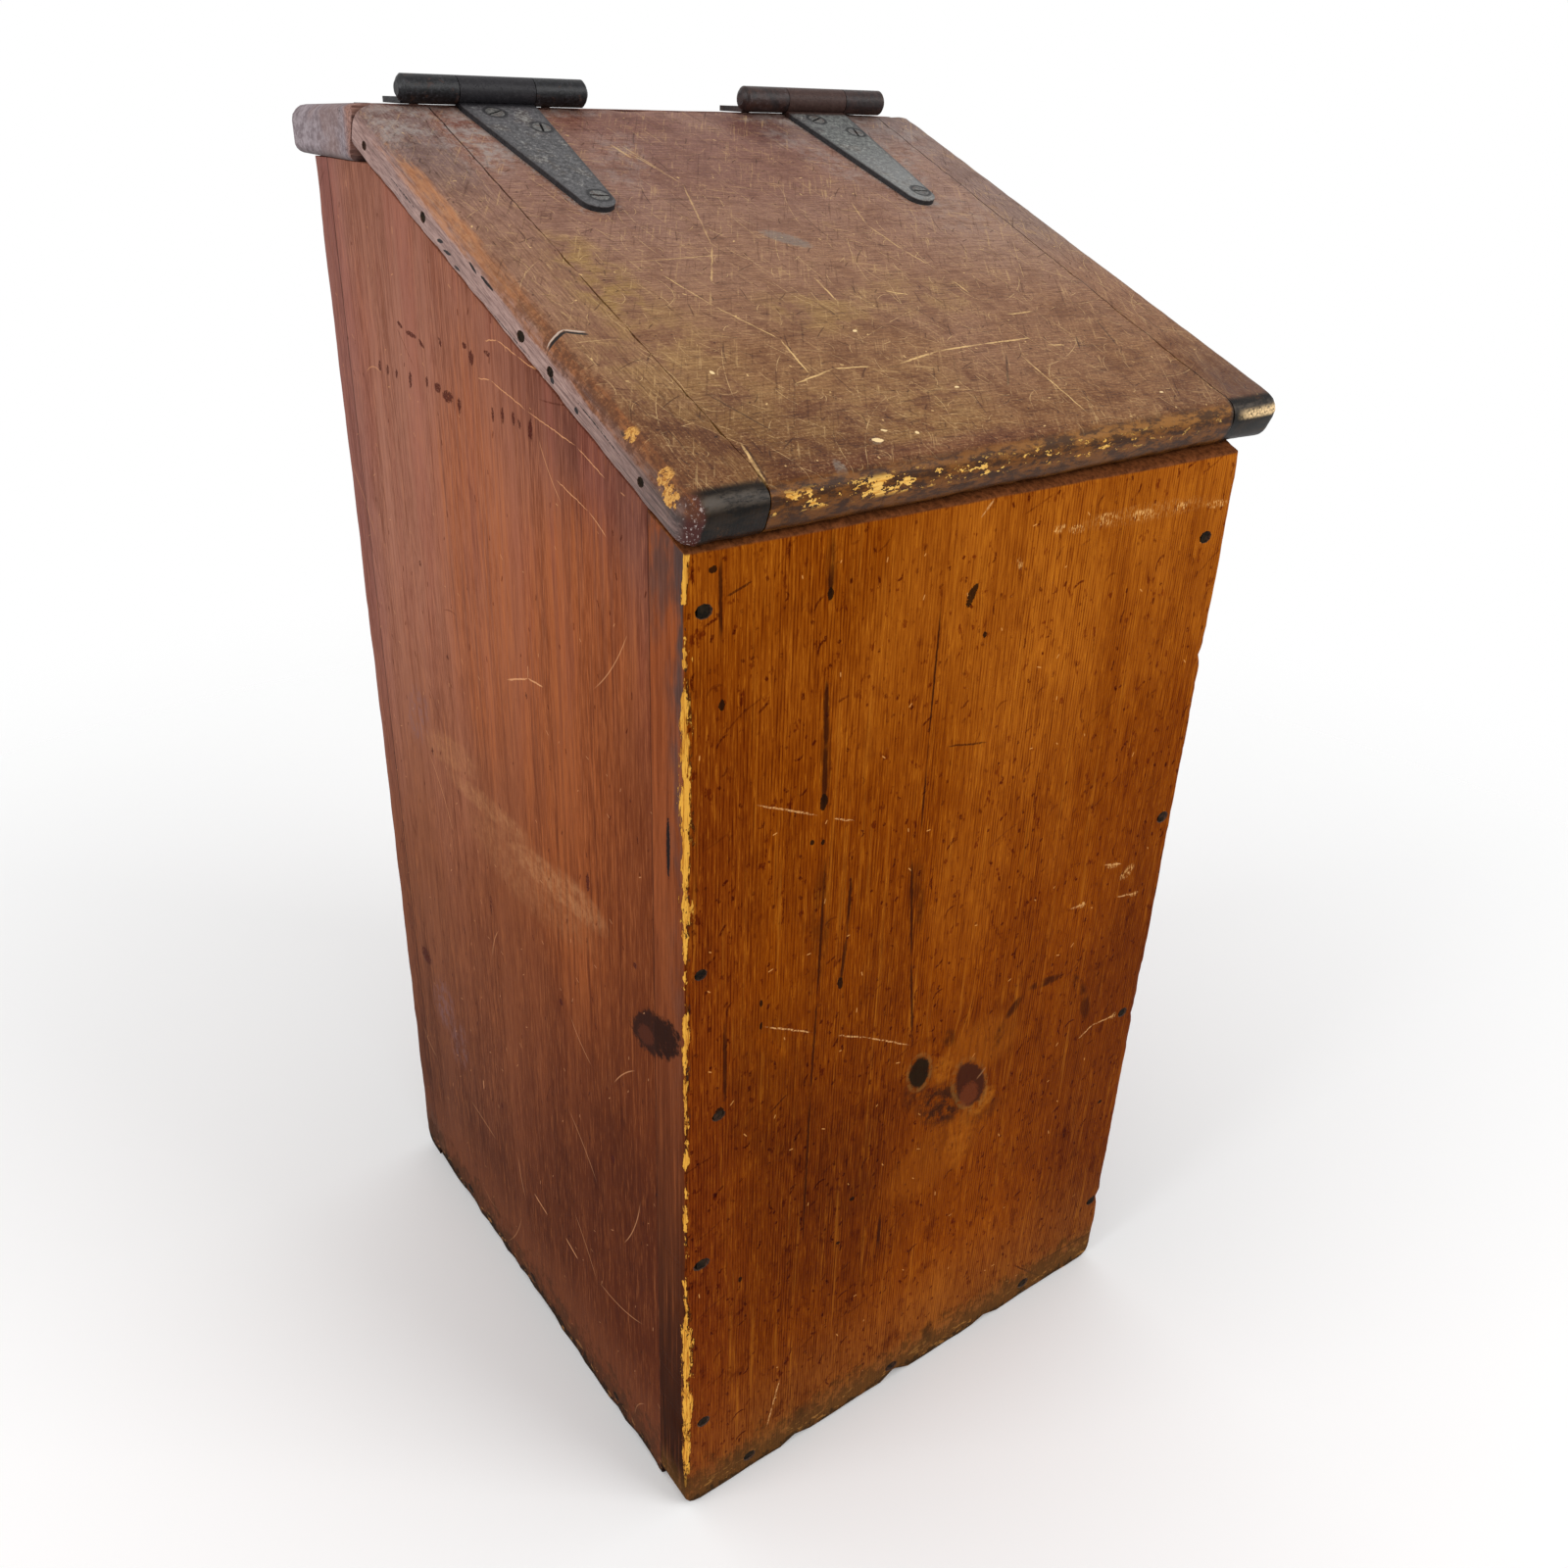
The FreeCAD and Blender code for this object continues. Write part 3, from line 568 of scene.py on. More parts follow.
    blacks = g.marks(plane, [
        (-131.9, 441.4, 1.7, 2.8, 0), (-84.4, 475, 2, 3, 0), (-82.4, 387.5, 2.4, 4.6, 0),
        (-67.8, 293.5, 1.9, 4, 8), (-11.2, 461, 2.8, 7, -28, 0.85), (-2, 442.4, 1.4, 2, 0),
        (-130.7, 251.7, 2.8, 3, 45), (-87.3, 370.5, 1.4, 1.6, 0), (-81.7, 368.8, 1.3, 1.4, 0),
        (-110.2, 300.3, 1.1, 2.4, 0), (-109.9, 288.4, 1, 2.4, 0), (-117.7, 143.7, 1.3, 2.4, 0),
        (-51.6, 157.5, 2, 1.5, 20), (-58.5, 131.9, 1.8, 1.3, -20), (144, 49.6, 1.8, 2, 0),
        (133, 129.4, 1.9, 1.4, 0), (88.4, 9.1, 3, 4, 0), (-136.3, 493.1, 2.4, 1.6, 0, 0.8),
    ])
    blacks = g.torn(blacks, rag) * on_face
    g.paint(blacks * 0.92, tone(28, 14, 6))
    dark_cuts = g.lines(plane, [
        (0.7, -130.1, 482.6, -120.2, 485.8), (0.6, -17, 395.2, 6.4, 391), (0.7, -103.5, 237.7, -94.7, 244),
        (0.8, 79.1, 31.9, 108.5, 3.9), (0.8, 101.4, 20.7, 144.6, 18.6),
    ])
    g.paint(dark_cuts * rag.ramp(0.3, 0.5) * 0.8 * on_face, tone(56, 20, 5))

    pale = g.lines(plane, [
        (0.50, -115.5, 395.8, -85, 382.4), (0.45, -76.8, 378.6, -66.3, 374.1),
        (0.50, -108.3, 287.2, -81.5, 272.5), (0.50, -66.7, 264.4, -50.2, 256.1, -22.4, 239.3),
        (0.60, -91, 56.5, -98.5, 24.6), (0.55, -4.8, 499.2, -10.8, 493.1),
        (0.60, 104.3, 187.7, 113.5, 192.4, 131.1, 191.6), (0.65, 101.2, 298.3, 114.5, 294.5),
        (0.60, 80.6, 279.3, 90.7, 278.6), (0.60, 116.1, 274, 131.2, 271.1),
    ])
    tips = g.marks(plane, [
        (14, 470, 2, 3.4, 20, 0.6), (92, 480.6, 56, 5, -1, 0.22), (34.8, 481.6, 4.6, 2.4, 10, 0.9),
        (45.6, 479.9, 5.6, 2.4, -8), (64, 481.4, 8.6, 3.2, -4), (87, 480, 10.5, 3.2, -2),
        (113, 480.2, 5, 2.4, 0), (139, 477.6, 9.2, 2.2, -3), (131.1, 191.6, 2.6, 2.2, 30),
        (88.5, 278.8, 3.4, 2, 0), (130, 271.2, 3.6, 1.6, 0), (120.5, 287.6, 6.6, 4, 30, 0.8),
        (108, 295.6, 5.6, 2, -10, 0.8),
    ])
    chip_break = g.noise(g.stretched(1.5, 1, 0.42), 780, 3.0, 0.75).ramp(0.51, 0.58)
    g.paint(pale * rag.ramp(0.40, 0.54) * 0.9 * on_face, wood.scratch)
    g.paint(tips * chip_break * on_face, tone(228, 172, 100))

    # Bare wood along the near edge, wide or narrow by height.
    rub_and_gleam = g.noise(g.stretched(z=0.25), 430, 4.0, 0.75)
    near_edge = (x - LEFT).most(y - FRONT)
    reach = g.level(
        z * 2,
        (0.00, 0.30), (0.04, 0.62), (0.12, 1.00), (0.24, 1.00), (0.29, 0.62), (0.33, 0.34), (0.44, 0.34),
        (0.50, 0.56), (0.56, 0.66), (0.62, 0.56), (0.66, 0.26), (0.70, 0.86), (0.72, 1.00), (0.745, 0.66),
        (0.80, 1.00), (0.885, 0.85), (0.915, 0.30), (0.955, 0.24), (0.975, 0.62), (1.00, 0.62),
    )
    clump = g.noise(g.stretched(z=0.5), 190, 3.0, 0.7)
    width = ((reach - 0.18) * (rub_and_gleam * 3.0 - 0.9) * 5.6 + (clump - 0.5) * 11 * reach.ramp(0.9, 0.3)) * MM
    bare = (near_edge - width).ramp(0.2 * MM, -0.2 * MM)
    far_edge = (RIGHT - x).most(y - FRONT)
    far_bare = (far_edge - (rub_and_gleam * 3 - 1.25) * 1.2 * MM).ramp(0.2 * MM, -0.2 * MM)
    bare = bare.most(far_bare * 0.85)
    bare_tone = g.mix(fibre.ramp(0.36, 0.58), tone(176, 110, 36), wood.bare)
    rim = (near_edge - width).ramp(1.7 * MM, 0.2 * MM) * (x - LEFT).ramp(0.5 * MM, 1.2 * MM)
    rim = rim * clump.ramp(0.60, 0.44)
    g.paint(rim * 0.85, tone(46, 24, 8))
    g.paint(bare, bare_tone)
    pits = g.noise(g.stretched(1, 1, 0.5), 300, 3.0, 0.75).ramp(0.40, 0.34)
    edge_band = near_edge.ramp(3.6 * MM, 1.4 * MM)
    g.paint(pits * edge_band * 0.9, tone(52, 34, 24))

    # The strip seen from the side: brown by the seam, darker and greyer outside; the grey-violet near the top
    # is painted shade under the lid's overhang.
    strip = (y - FRONT).ramp(0.5 * MM, 1.3 * MM) * (x - LEFT).least(RIGHT - x).ramp(3 * MM, 1.5 * MM)
    strip_tone = g.mix(z.ramp(0.02, 0.50), tone(52, 22, 7), tone(150, 80, 44))
    strip_tone = g.mix(streaks.ramp(0.56, 0.38) * 0.55, strip_tone, (0.55, 0.44, 0.38), "MULTIPLY")
    strip_tone = g.mix(streaks.ramp(0.54, 0.68) * 0.35, strip_tone, tone(158, 88, 46))
    cloud = g.noise(g.stretched(z=0.3), 90, 3.0, 0.7)
    # The cold grey: towards the outside, and near the top as painted shade under the lid's overhang.
    cold = ((y - FRONT).ramp(17 * MM, 4 * MM) * z.ramp(0.20, 0.50)).most(z.ramp(0.42, 0.50) * 0.8)
    strip_tone = g.mix(cold * cloud.ramp(0.34, 0.62), strip_tone, tone(84, 64, 60))
    strip_tone = g.mix(fibre.ramp(0.62, 0.38) * 0.5, strip_tone, (0.55, 0.48, 0.42), "MULTIPLY")
    side = g.place(y, z, 1.0)
    crack = g.marks(side, [(-150, 381, 1.6, 17, 0)])
    strip_tone = g.mix(g.torn(crack, rag), strip_tone, tone(34, 26, 26))
    side_knot = g.marks(side, [SIDE_KNOT])
    strip_tone = g.mix(g.torn(side_knot, ragged, 0.3, 2.4) * 0.95, strip_tone, tone(36, 17, 11))
    strip_tone = g.mix(pores * 0.5, strip_tone, (0.4, 0.3, 0.25), "MULTIPLY")
    g.paint(strip * (1 - bare), strip_tone)

    # Top edge and foot.
    top = (z - (y - FRONT) * math.tan(LID_SLOPE)).ramp(FRONT_TOP - 1.6 * MM, FRONT_TOP - 0.7 * MM)
    end_grain = g.noise(g.object_place, 420, 4.0, 0.7)
    g.paint(top, g.mix(end_grain.ramp(0.3, 0.7), tone(78, 42, 22), tone(122, 70, 38)))
    dirt = g.noise(g.stretched(z=0.7), 130, 4.0, 0.75)
    foot = (z - (dirt * 2 - 0.62) * 0.052).ramp(9 * MM, -9 * MM)
    g.paint(z.ramp(0.030, 0.004) * (0.3 + 0.5 * dirt), tone(134, 92, 50))
    g.paint(foot * 0.60, tone(58, 40, 22))
    g.paint((z - (dirt * 2 - 0.8) * 0.014).ramp(2 * MM, -1 * MM) * 0.75, wood.grime)
    foot_chip = g.noise(g.stretched(0.6, 1, 1.6), 170, 3.0, 0.7).ramp(0.58, 0.64) * z.ramp(0.018, 0.006)
    g.paint(foot_chip * 0.5, tone(178, 124, 62))

    rough = 0.42 + 0.16 * fibre + 0.3 * foot + 0.25 * bare + 0.2 * inside
    height = fibre * 0.6 + growth * 0.25 - pores * 0.3 - blacks * 1.2 - bare * 0.8 - nicks * 0.5
    return g.finish(rough, height, 0.16, 0.01)


def wall_pine(wood):
    """Red-brown stain of the side and back boards, dull and rubbed."""
    g = Graph("stained_wall_pine")
    x, y, z = g.axes()
    plane = plane_of(g, y, z)
    face = g.place(x + y, z, 1.0)
    on_left = x.ramp(LEFT + 1.6 * MM, LEFT + 0.9 * MM)
    growth, fibre, streaks, pores = wood_grain(g, g.object_place, "z", 1.7)
    patch = g.noise(g.stretched(z=0.35), 17, 3.0, 0.6)
    # Darker low down, which is partly painted shade; paler and cooler towards the back and top, which is
    # partly painted sheen and partly fading of the stain.
    tone_at = (z - 0.18) * 2.9 + (y.least(0.06) + 0.11) * 2.0 + patch * 0.6 - 0.29
    warm = g.tones(tone_at, (0.0, wood.stain_dark), (0.5, wood.stain), (1.0, wood.stain_light))
    cool = g.tones(tone_at, (0.0, tone(92, 53, 36)), (0.5, wood.faded_stain_and_sheen), (1.0, tone(156, 106, 88)))
    fading_and_sheen = y.ramp(-0.14, 0.16) * 0.75 + z.ramp(0.25, 0.60) * 0.45
    g.coat = g.mix(fading_and_sheen.least(1.0), warm, cool)
    # Painted shadow under the lid's overhang, along the boards' slanted top and strongest at the front.
    overhang = (z - (y - FRONT) * math.tan(LID_SLOPE)).ramp(FRONT_TOP - 80 * MM, FRONT_TOP - 4 * MM)
    overhang = overhang * (y.ramp(0.02, -0.10) * 0.7 + 0.2)
    g.paint(overhang * 0.75, tone(96, 62, 60))
    # Painted sheen: a pink tint high up.
    pink = g.noise(g.stretched(z=0.22), 40, 2.0, 0.55).ramp(0.46, 0.64) * z.ramp(0.30, 0.50)
    g.paint(pink * 0.28, tone(150, 84, 70))
    flat = g.place(y, z, 1.0)
    warm = g.marks(flat, [
        (-70, 370, 60, 150, 0, 0.5), (-90, 455, 50, 60, 0, 0.5), (10, 440, 50, 120, 0, 0.45),
    ])
    g.paint(warm * on_left * streaks.ramp(0.34, 0.60), tone(164, 88, 42))
    # Painted sheen: a violet tint high up towards the back.
    violet = y.ramp(0.112, 0.150) * z.ramp(0.20, 0.46) * 0.35
    g.paint(violet, tone(128, 84, 88))

    side = (x - LEFT).least(RIGHT - x)
    inside = side.least(BACK - y).ramp(INNER_LEFT - LEFT - 1.5 * MM, INNER_LEFT - LEFT - 0.6 * MM)
    inner_back = y.ramp(INNER_BACK + 1.0 * MM, INNER_BACK + 0.4 * MM) * side.ramp(20 * MM, 21.5 * MM)
    inner = inside.most(inner_back)
    g.paint(inner, g.mix(patch.ramp(0.3, 0.7), tone(160, 122, 82), wood.raw))
    clear = g.noise(g.stretched(z=0.12), 30, 2.0, 0.5).ramp(0.34, 0.66)
    g.shade(growth * (0.30 + 0.35 * clear), (0.56, 0.44, 0.36))
    g.shade(fibre.ramp(0.52, 0.34) * 0.45, (0.62, 0.50, 0.42))
    g.paint(fibre.ramp(0.52, 0.72) * 0.24, tone(196, 122, 72))
    g.shade(streaks.ramp(0.50, 0.32) * 0.50, (0.64, 0.48, 0.38))
    g.paint(streaks.ramp(0.56, 0.74) * 0.15, tone(196, 118, 66))
    g.shade(pores * 0.40, (0.50, 0.36, 0.28))

    rub_and_gleam = g.noise(g.object_place, 210, 4.0, 0.75).ramp(0.36, 0.70)
    rubbed = g.marks(plane, [
        (20, 322, 56, 8, -3, 0.45), (-42, 313, 50, 11, -2, 0.6), (60, 334, 40, 12, -8, 0.35),
        (-70, 316, 34, 12, 0, 0.5), (-20, 304, 80, 24, 0, 0.25),
    ])
    g.paint(rubbed * (0.2 + 0.7 * rub_and_gleam) * on_left, tone(182, 128, 86))
    # Painted sheen: grey-violet patches towards the back of the left side.
    cold = g.marks(plane, [
        (107, 148, 18, 24, 30, 0.9), (88, 130, 15, 24, 25, 0.9), (101, 340, 16, 26, 35, 0.7),
    ])
    cold = cold * streaks.ramp(0.36, 0.60) * rub_and_gleam.ramp(0.1, 0.6)
    g.paint(cold * 0.5 * on_left, tone(112, 88, 94))
    corner = g.marks(flat, [(158, 8, 34, 36, 0, 0.9)])
    g.paint(corner * (0.3 + 0.7 * rub_and_gleam), tone(52, 56, 50))

    dents = g.marks(plane, [
        (74, 540.4, 3.8, 1.3, 20), (62, 538, 7.6, 1.4, 4), (51, 535.6, 3.4, 1.4, 30),
        (30.6, 539.6, 2.7, 1.5, 60, 0.8), (5.6, 541.8, 2.5, 1.7, 0), (-0.4, 538, 2.7, 3.7, 20),
        (-15.7, 542.1, 3.4, 1.7, 0, 0.8), (104.1, 517.6, 1.7, 3.4, 15, 0.9), (94.4, 517.5, 1.7, 3.4, 15, 0.9),
        (83.8, 517.5, 1.5, 3.1, 15, 0.8), (67.7, 517.6, 2, 4.6, 15), (48.5, 520.1, 1.7, 3.2, 10, 0.9),
        (37, 519.6, 4.2, 2.5, -8), (27, 517.6, 6.8, 3.1, -4), (15.3, 516.1, 2.5, 3.9, 10),
        (-17.4, 518.7, 1.5, 3.9, 0, 0.9), (-26.6, 520.1, 1.5, 4.1, 0), (-36.2, 520.4, 1.5, 3.7, 0, 0.9),
        (-41.4, 519.6, 1.2, 2.5, 0, 0.8), (-50.6, 519, 2.2, 5.4, 10),
    ])
    spots = g.marks(plane, [
        (77.4, 429.6, 1.6, 2.2, 0, 0.8), (-32.3, 400.8, 1.5, 2, 0, 0.7), (53.3, 389.1, 1.5, 1.9, 0, 0.7),
        (85.2, 325, 1.8, 2.4, 0, 0.8), (-82.7, 331.9, 2, 6, 0), (24.6, 262, 1.6, 9, 0, 0.6),
        (128.3, 170.5, 9, 7, 0, 0.9), (-121.9, 311.2, 1.6, 2, 0), (-50.4, 247.4, 2.1, 2.4, 0),
        (31.9, 123.7, 1.8, 2.2, 0), (-97, 184.4, 1.8, 2.8, 0),
    ])
    rag = g.noise(g.object_place, 700, 4.0, 0.8)
    dark = g.torn(dents.most(spots) * 0.8, rag, 0.2, 4.0) * on_left
    nicks = g.strokes(face, 15, 2.2, 0.65, 0.26, 60, 60, 0.8, 0.05)
    nicks = nicks.most(g.strokes(face, 60, 20, 0.45, 0.4, 0, 180, 0.5, 0.21) * 0.7)
    nicks = nicks * rag.ramp(0.36, 0.50)
    g.shade(nicks * 0.85, (0.40, 0.24, 0.18))
    g.paint(dark * 0.85, tone(70, 24, 18))
    smudge_at = g.noise(g.stretched(1, 1, 0.6), 60, 5.0, 0.75)
    smudged = smudge_at.ramp(0.56, 0.72) * (0.34 + 0.3 * z.ramp(0.34, 0.16))
    g.shade(smudged, (0.56, 0.42, 0.34))
    knot = g.marks(flat, [SIDE_KNOT])
    ragged = g.noise(g.object_place, 240, 4.0, 0.75)
    g.paint(g.torn(knot, ragged, 0.3, 2.4) * 0.92 * on_left, tone(40, 18, 11))
    heart = g.marks(plane, [(-130, 280, 9, 6, -27)])
    g.paint(g.torn(heart, rag, 0.3, 3.0) * 0.45 * on_left, tone(92, 44, 26))
    pale = g.lines(plane, [
        (0.28, -14.7, 546.8, -25.6, 548.7, -43, 545.2, -58.2, 542.7),
        (0.28, -5.6, 530.9, -16.8, 532.1, -48, 526, -88.4, 520.6, -108.9, 513.5),
        (0.26, -70, 504.5, -95.6, 498.4, -108.4, 492.2), (0.50, -13.8, 401.5, -35.3, 410, -49.2, 411.2),
        (0.30, -36, 416, -35.3, 410.3), (0.60, -3.7, 85.7, -18.8, 82.7), (0.60, -40.6, 83.8, -53.6, 79.9),
        (0.60, 56.6, 124.7, 56.6, 119.7),
    ])
    fine = g.strokes(face, 70, 26, 0.35, 0.45, 0, 180, 0.8, 0.33)
    fine = fine.most(g.strokes(face, 17, 1.8, 0.32, 0.26, shift=0.29))
    pale = pale * rag.ramp(0.28, 0.46)
    g.paint((pale * 0.8 * on_left).most(fine * 0.5), tone(212, 152, 106))

    # The foot, the seams and the strip behind the back one.
    dirt = g.noise(g.stretched(z=0.7), 120, 4.0, 0.75)
    foot = (z - (dirt * 2 - 0.62) * 0.050).ramp(10 * MM, -8 * MM)
    g.paint(z.ramp(0.075, 0.03) * 0.45, tone(112, 62, 38))
    g.paint(foot * 0.55, tone(62, 46, 36))
    g.paint((z - (dirt * 2 - 0.6) * 0.016).ramp(3 * MM, -1 * MM) * 0.85, tone(34, 28, 22))
    foot_chip = g.noise(g.stretched(1, 1, 1.6), 150, 2.0, 0.6).ramp(0.60, 0.66) * z.ramp(0.016, 0.006)
    g.paint(foot_chip * 0.6, tone(160, 112, 70))
    seam = (y - INNER_FRONT).ramp(0.9 * MM, 0.1 * MM).most(abs(y - INNER_BACK).ramp(0.7 * MM, 0.1 * MM))
    g.paint(seam * 0.75, tone(34, 18, 15))
    shade_strip = y.ramp(INNER_BACK - 1 * MM, INNER_BACK + 1 * MM) * 0.45
    g.shade(shade_strip, (0.66, 0.58, 0.62))
    rough = 0.46 + 0.16 * fibre + 0.2 * foot + 0.25 * inner
    height = fibre * 0.6 + growth * 0.25 - pores * 0.3 - dark * 1.2 - nicks * 0.5
    return g.finish(rough, height, 0.14, 0.015)


def lid_pine(wood, name, along_slope):
    """Worn brown lid board, scratched all over, with chips along its nose."""
    g = Graph(name)
    flat, x, up, above = g.lid_axes()
    plane = plane_of(g, x, up)
    smooth = g.place(x, up, 1.0)
    on_top = above.ramp(LID_TOP - 5 * MM, LID_TOP - 2 * MM)

    def mine(marks, at=0):
        """The marks that lie on this board or near it, with X at this index."""
        low, high = LEFT_SEAM / MM, RIGHT_SEAM / MM
        if along_slope:
            return [mark for mark in marks if not low + 25 < mark[at] < high - 25]
        return [mark for mark in marks if low - 25 < mark[at] < high + 25]

    patch = g.noise(flat, 14, 3.0, 0.6)
    mottle = g.noise(flat, 60, 4.0, 0.7)
    # From the front to the hinges; the greyer, bluer tone near the hinges is partly painted sheen.
    tone_at = up * 3.3 + patch * 0.5 - 0.25
    g.coat = g.tones(tone_at, (0.05, wood.lid_front), (0.40, wood.lid), (0.85, wood.lid_back))
    olive = g.marks(smooth, mine([
        (-112, 138, 20, 44, 0, 0.85), (-28, 104, 34, 22, -10, 0.65), (-112, 70, 40, 80, 0, 0.5),
        (-50, 40, 80, 40, 0, 0.4), (24, 112, 60, 22, 0, 0.35),
    ]))
    g.paint(olive * mottle.ramp(0.36, 0.62), tone(150, 116, 62))
    red = g.marks(smooth, mine([
        (46.9, 270, 24, 22, 0, 0.7), (-109.7, 268.6, 14, 14, 0, 0.55), (-30, 272, 44, 16, 0, 0.5),
        (0, 232, 80, 44, 0, 0.3), (-40, 6, 90, 12, 0, 0.4),
    ]))
    g.paint(red, tone(104, 50, 40))
    corner_shade = g.marks(smooth, [(-150, 0, 120, 80, 0, 0.85), (140, 4, 60, 44, 0, 0.6)])
    g.shade(corner_shade, (0.66, 0.56, 0.46))

    greyer = x.ramp(0.05, 0.12) * up.ramp(0.10, 0.16)
    g.paint(greyer * 0.30, tone(170, 144, 130))
    golden = g.marks(smooth, mine([(-40, 70, 75, 34, 0, 0.5)]))
    g.paint(golden, tone(134, 92, 52))
    cool = (x.ramp(-0.118, -0.128) * up.ramp(0.19, 0.24)).most(x.ramp(0.02, 0.05) * up.ramp(0.24, 0.268))
    cool = cool.most(x.ramp(0.13, 0.145) * up.ramp(0.12, 0.17) * 0.7)
    g.shade(cool, (0.74, 0.86, 1.0))
    below = above.ramp(2.2 * MM, 0.8 * MM)
    g.paint(below, g.mix(patch.ramp(0.3, 0.7), tone(150, 112, 74), wood.raw))

    drawn_along = "y" if along_slope else "x"
    growth, fibre, streaks, pores = wood_grain(g, flat, drawn_along, 1.7, reach=0.10)
    clear = mottle.ramp(0.38, 0.62)
    rag = g.noise(flat, 850, 3.0, 0.75)
    g.shade(growth * (0.24 + 0.26 * clear), (0.58, 0.47, 0.38))
    g.shade(fibre.ramp(0.52, 0.34) * 0.55, (0.54, 0.43, 0.34))
    g.paint(fibre.ramp(0.54, 0.72) * 0.35, tone(196, 156, 108))
    g.shade(streaks.ramp(0.50, 0.34) * 0.30, (0.60, 0.48, 0.38))
    near = 0.7 + 0.6 * up.ramp(0.14, 0.02)
    g.shade(rag.ramp(0.50, 0.34) * 0.50 * near, (0.54, 0.42, 0.34))
    g.paint(rag.ramp(0.55, 0.70) * 0.36 * near, tone(200, 164, 116))
    g.shade(mottle.ramp(0.52, 0.36) * 0.60 * near, (0.56, 0.43, 0.34))
    g.paint(mottle.ramp(0.58, 0.74) * 0.25, tone(176, 136, 88))
    g.shade(pores * 0.5, (0.42, 0.34, 0.28))

    # A dense hatch of hair-thin rubs in three directions.
    def hatch(angle, scale):
        turned = g.seen_from((0, 0, 0), (0, 0, math.radians(angle)), (22, 1, 1), flat)
        return g.noise(turned, scale, 2.0, 0.6)

    hatches = [hatch(58, 820), hatch(104, 700), hatch(-18, 760)]
    light = hatches[0].ramp(0.60, 0.70)
    deep = hatches[0].ramp(0.38, 0.30)
    for other in hatches[1:]:
        light = light.most(other.ramp(0.62, 0.72))
        deep = deep.most(other.ramp(0.37, 0.28))
    g.shade(deep * 0.55 * on_top, (0.44, 0.33, 0.26))
    g.paint(light * 0.36 * clear * on_top, tone(206, 168, 114))

    # Scratches by the hundred: dark ones first, then fine pale ones.
    dark_net = g.strokes(flat, 12, 3.2, 0.42, 0.55, bend=0.8, shift=0.07)
    dark_net = dark_net.most(g.strokes(flat, 29, 9.0, 0.38, 0.6, 20, 80, 0.6, 0.19))
    dark_net = dark_net.most(g.strokes(flat, 47, 17, 0.42, 0.5, 80, 90, 0.6, 0.53) * 0.8)
    g.shade(dark_net * rag.ramp(0.3, 0.5) * 0.75 * on_top, (0.30, 0.20, 0.13))
    fine_net = g.strokes(flat, 11, 5.5, 0.20, 0.65, 0, 180, 1.6, 0.11)
    for net in (
        (20, 12, 0.20, 0.8, 50, 90, 1.4, 0.37), (33, 22, 0.20, 0.8, 60, 80, 1.2, 0.71),
        (53, 36, 0.20, 0.8, 55, 50, 1.0, 0.43), (71, 44, 0.22, 0.7, 0, 50, 0.9, 0.97),
    ):
        fine_net = fine_net.most(g.strokes(flat, *net))
    fading_and_sheen = g.noise(flat, 110, 2.0, 0.6).ramp(0.34, 0.58)
    front_more = up.ramp(0.26, 0.14) * 0.7 + 0.3
    pale_net = fine_net * fading_and_sheen * front_more * rag.ramp(0.30, 0.52)
    g.paint(pale_net * 0.70 * on_top, tone(212, 174, 120))
    specks = g.strokes(flat, 8, 0.9, 0.55, 0.26, shift=0.03)
    g.shade(specks * 0.8 * on_top, (0.30, 0.20, 0.13))
    light_specks = g.strokes(flat, 19, 1.1, 0.45, 0.3, shift=0.61)
    g.paint(light_specks * 0.8 * on_top, tone(222, 182, 122))

    powder = g.marks(smooth, mine([
        (-124, 258, 44, 44, 10, 0.9), (-84, 248, 14, 44, 22, 0.6), (-48, 236, 16, 40, -24, 0.35),
        (-88, 284, 70, 9, 0, 0.75), (98, 280, 70, 9, 0, 0.7), (132, 262, 30, 24, 0, 0.55),
        (66, 240, 14, 44, 22, 0.45), (122, 240, 12, 44, -22, 0.55), (112, 180, 40, 24, 0, 0.25),
    ]))
    dusty = g.noise(flat, 130, 4.0, 0.75).ramp(0.40, 0.66) * 0.75 + rag.ramp(0.5, 0.66) * 0.25
    powder = powder * (1 - x.ramp(LEFT_SEAM - 2 * MM, LEFT_SEAM - 14 * MM) * up.ramp(0.262, 0.240))
    for hinge in HINGES:
        down = LID_BACK + 2.5 * MM - up
        lean = hinge + down * STRAP_LEAN
        half = 18.8 * MM - down * STRAP_TAPER
        gap = abs(x - lean) - half
        fringe = gap.ramp(4.0 * MM, 0.4 * MM) * down.ramp(104 * MM, 98 * MM) * rag.ramp(0.38, 0.52)
        powder = powder.most(fringe)
    g.paint(powder * dusty * on_top, tone(156, 146, 140))
    rail_shade = g.marks(smooth, [(-84, 290, 60, 14, 0, 0.7), (96, 290, 56, 12, 0, 0.6)])
    g.shade(rail_shade * 0.6 * on_top, (0.4, 0.36, 0.36))
    greys = g.marks(plane, mine([
        (-4.2, 163.1, 15, 6.4, -38, 0.8), (-84.2, 4, 3.4, 10, -6, 0.75), (-59, 19, 4, 3.6, 0, 0.4),
    ]))
    g.paint(g.torn(greys, rag, 0.4) * 0.55 * on_top, tone(122, 116, 108))
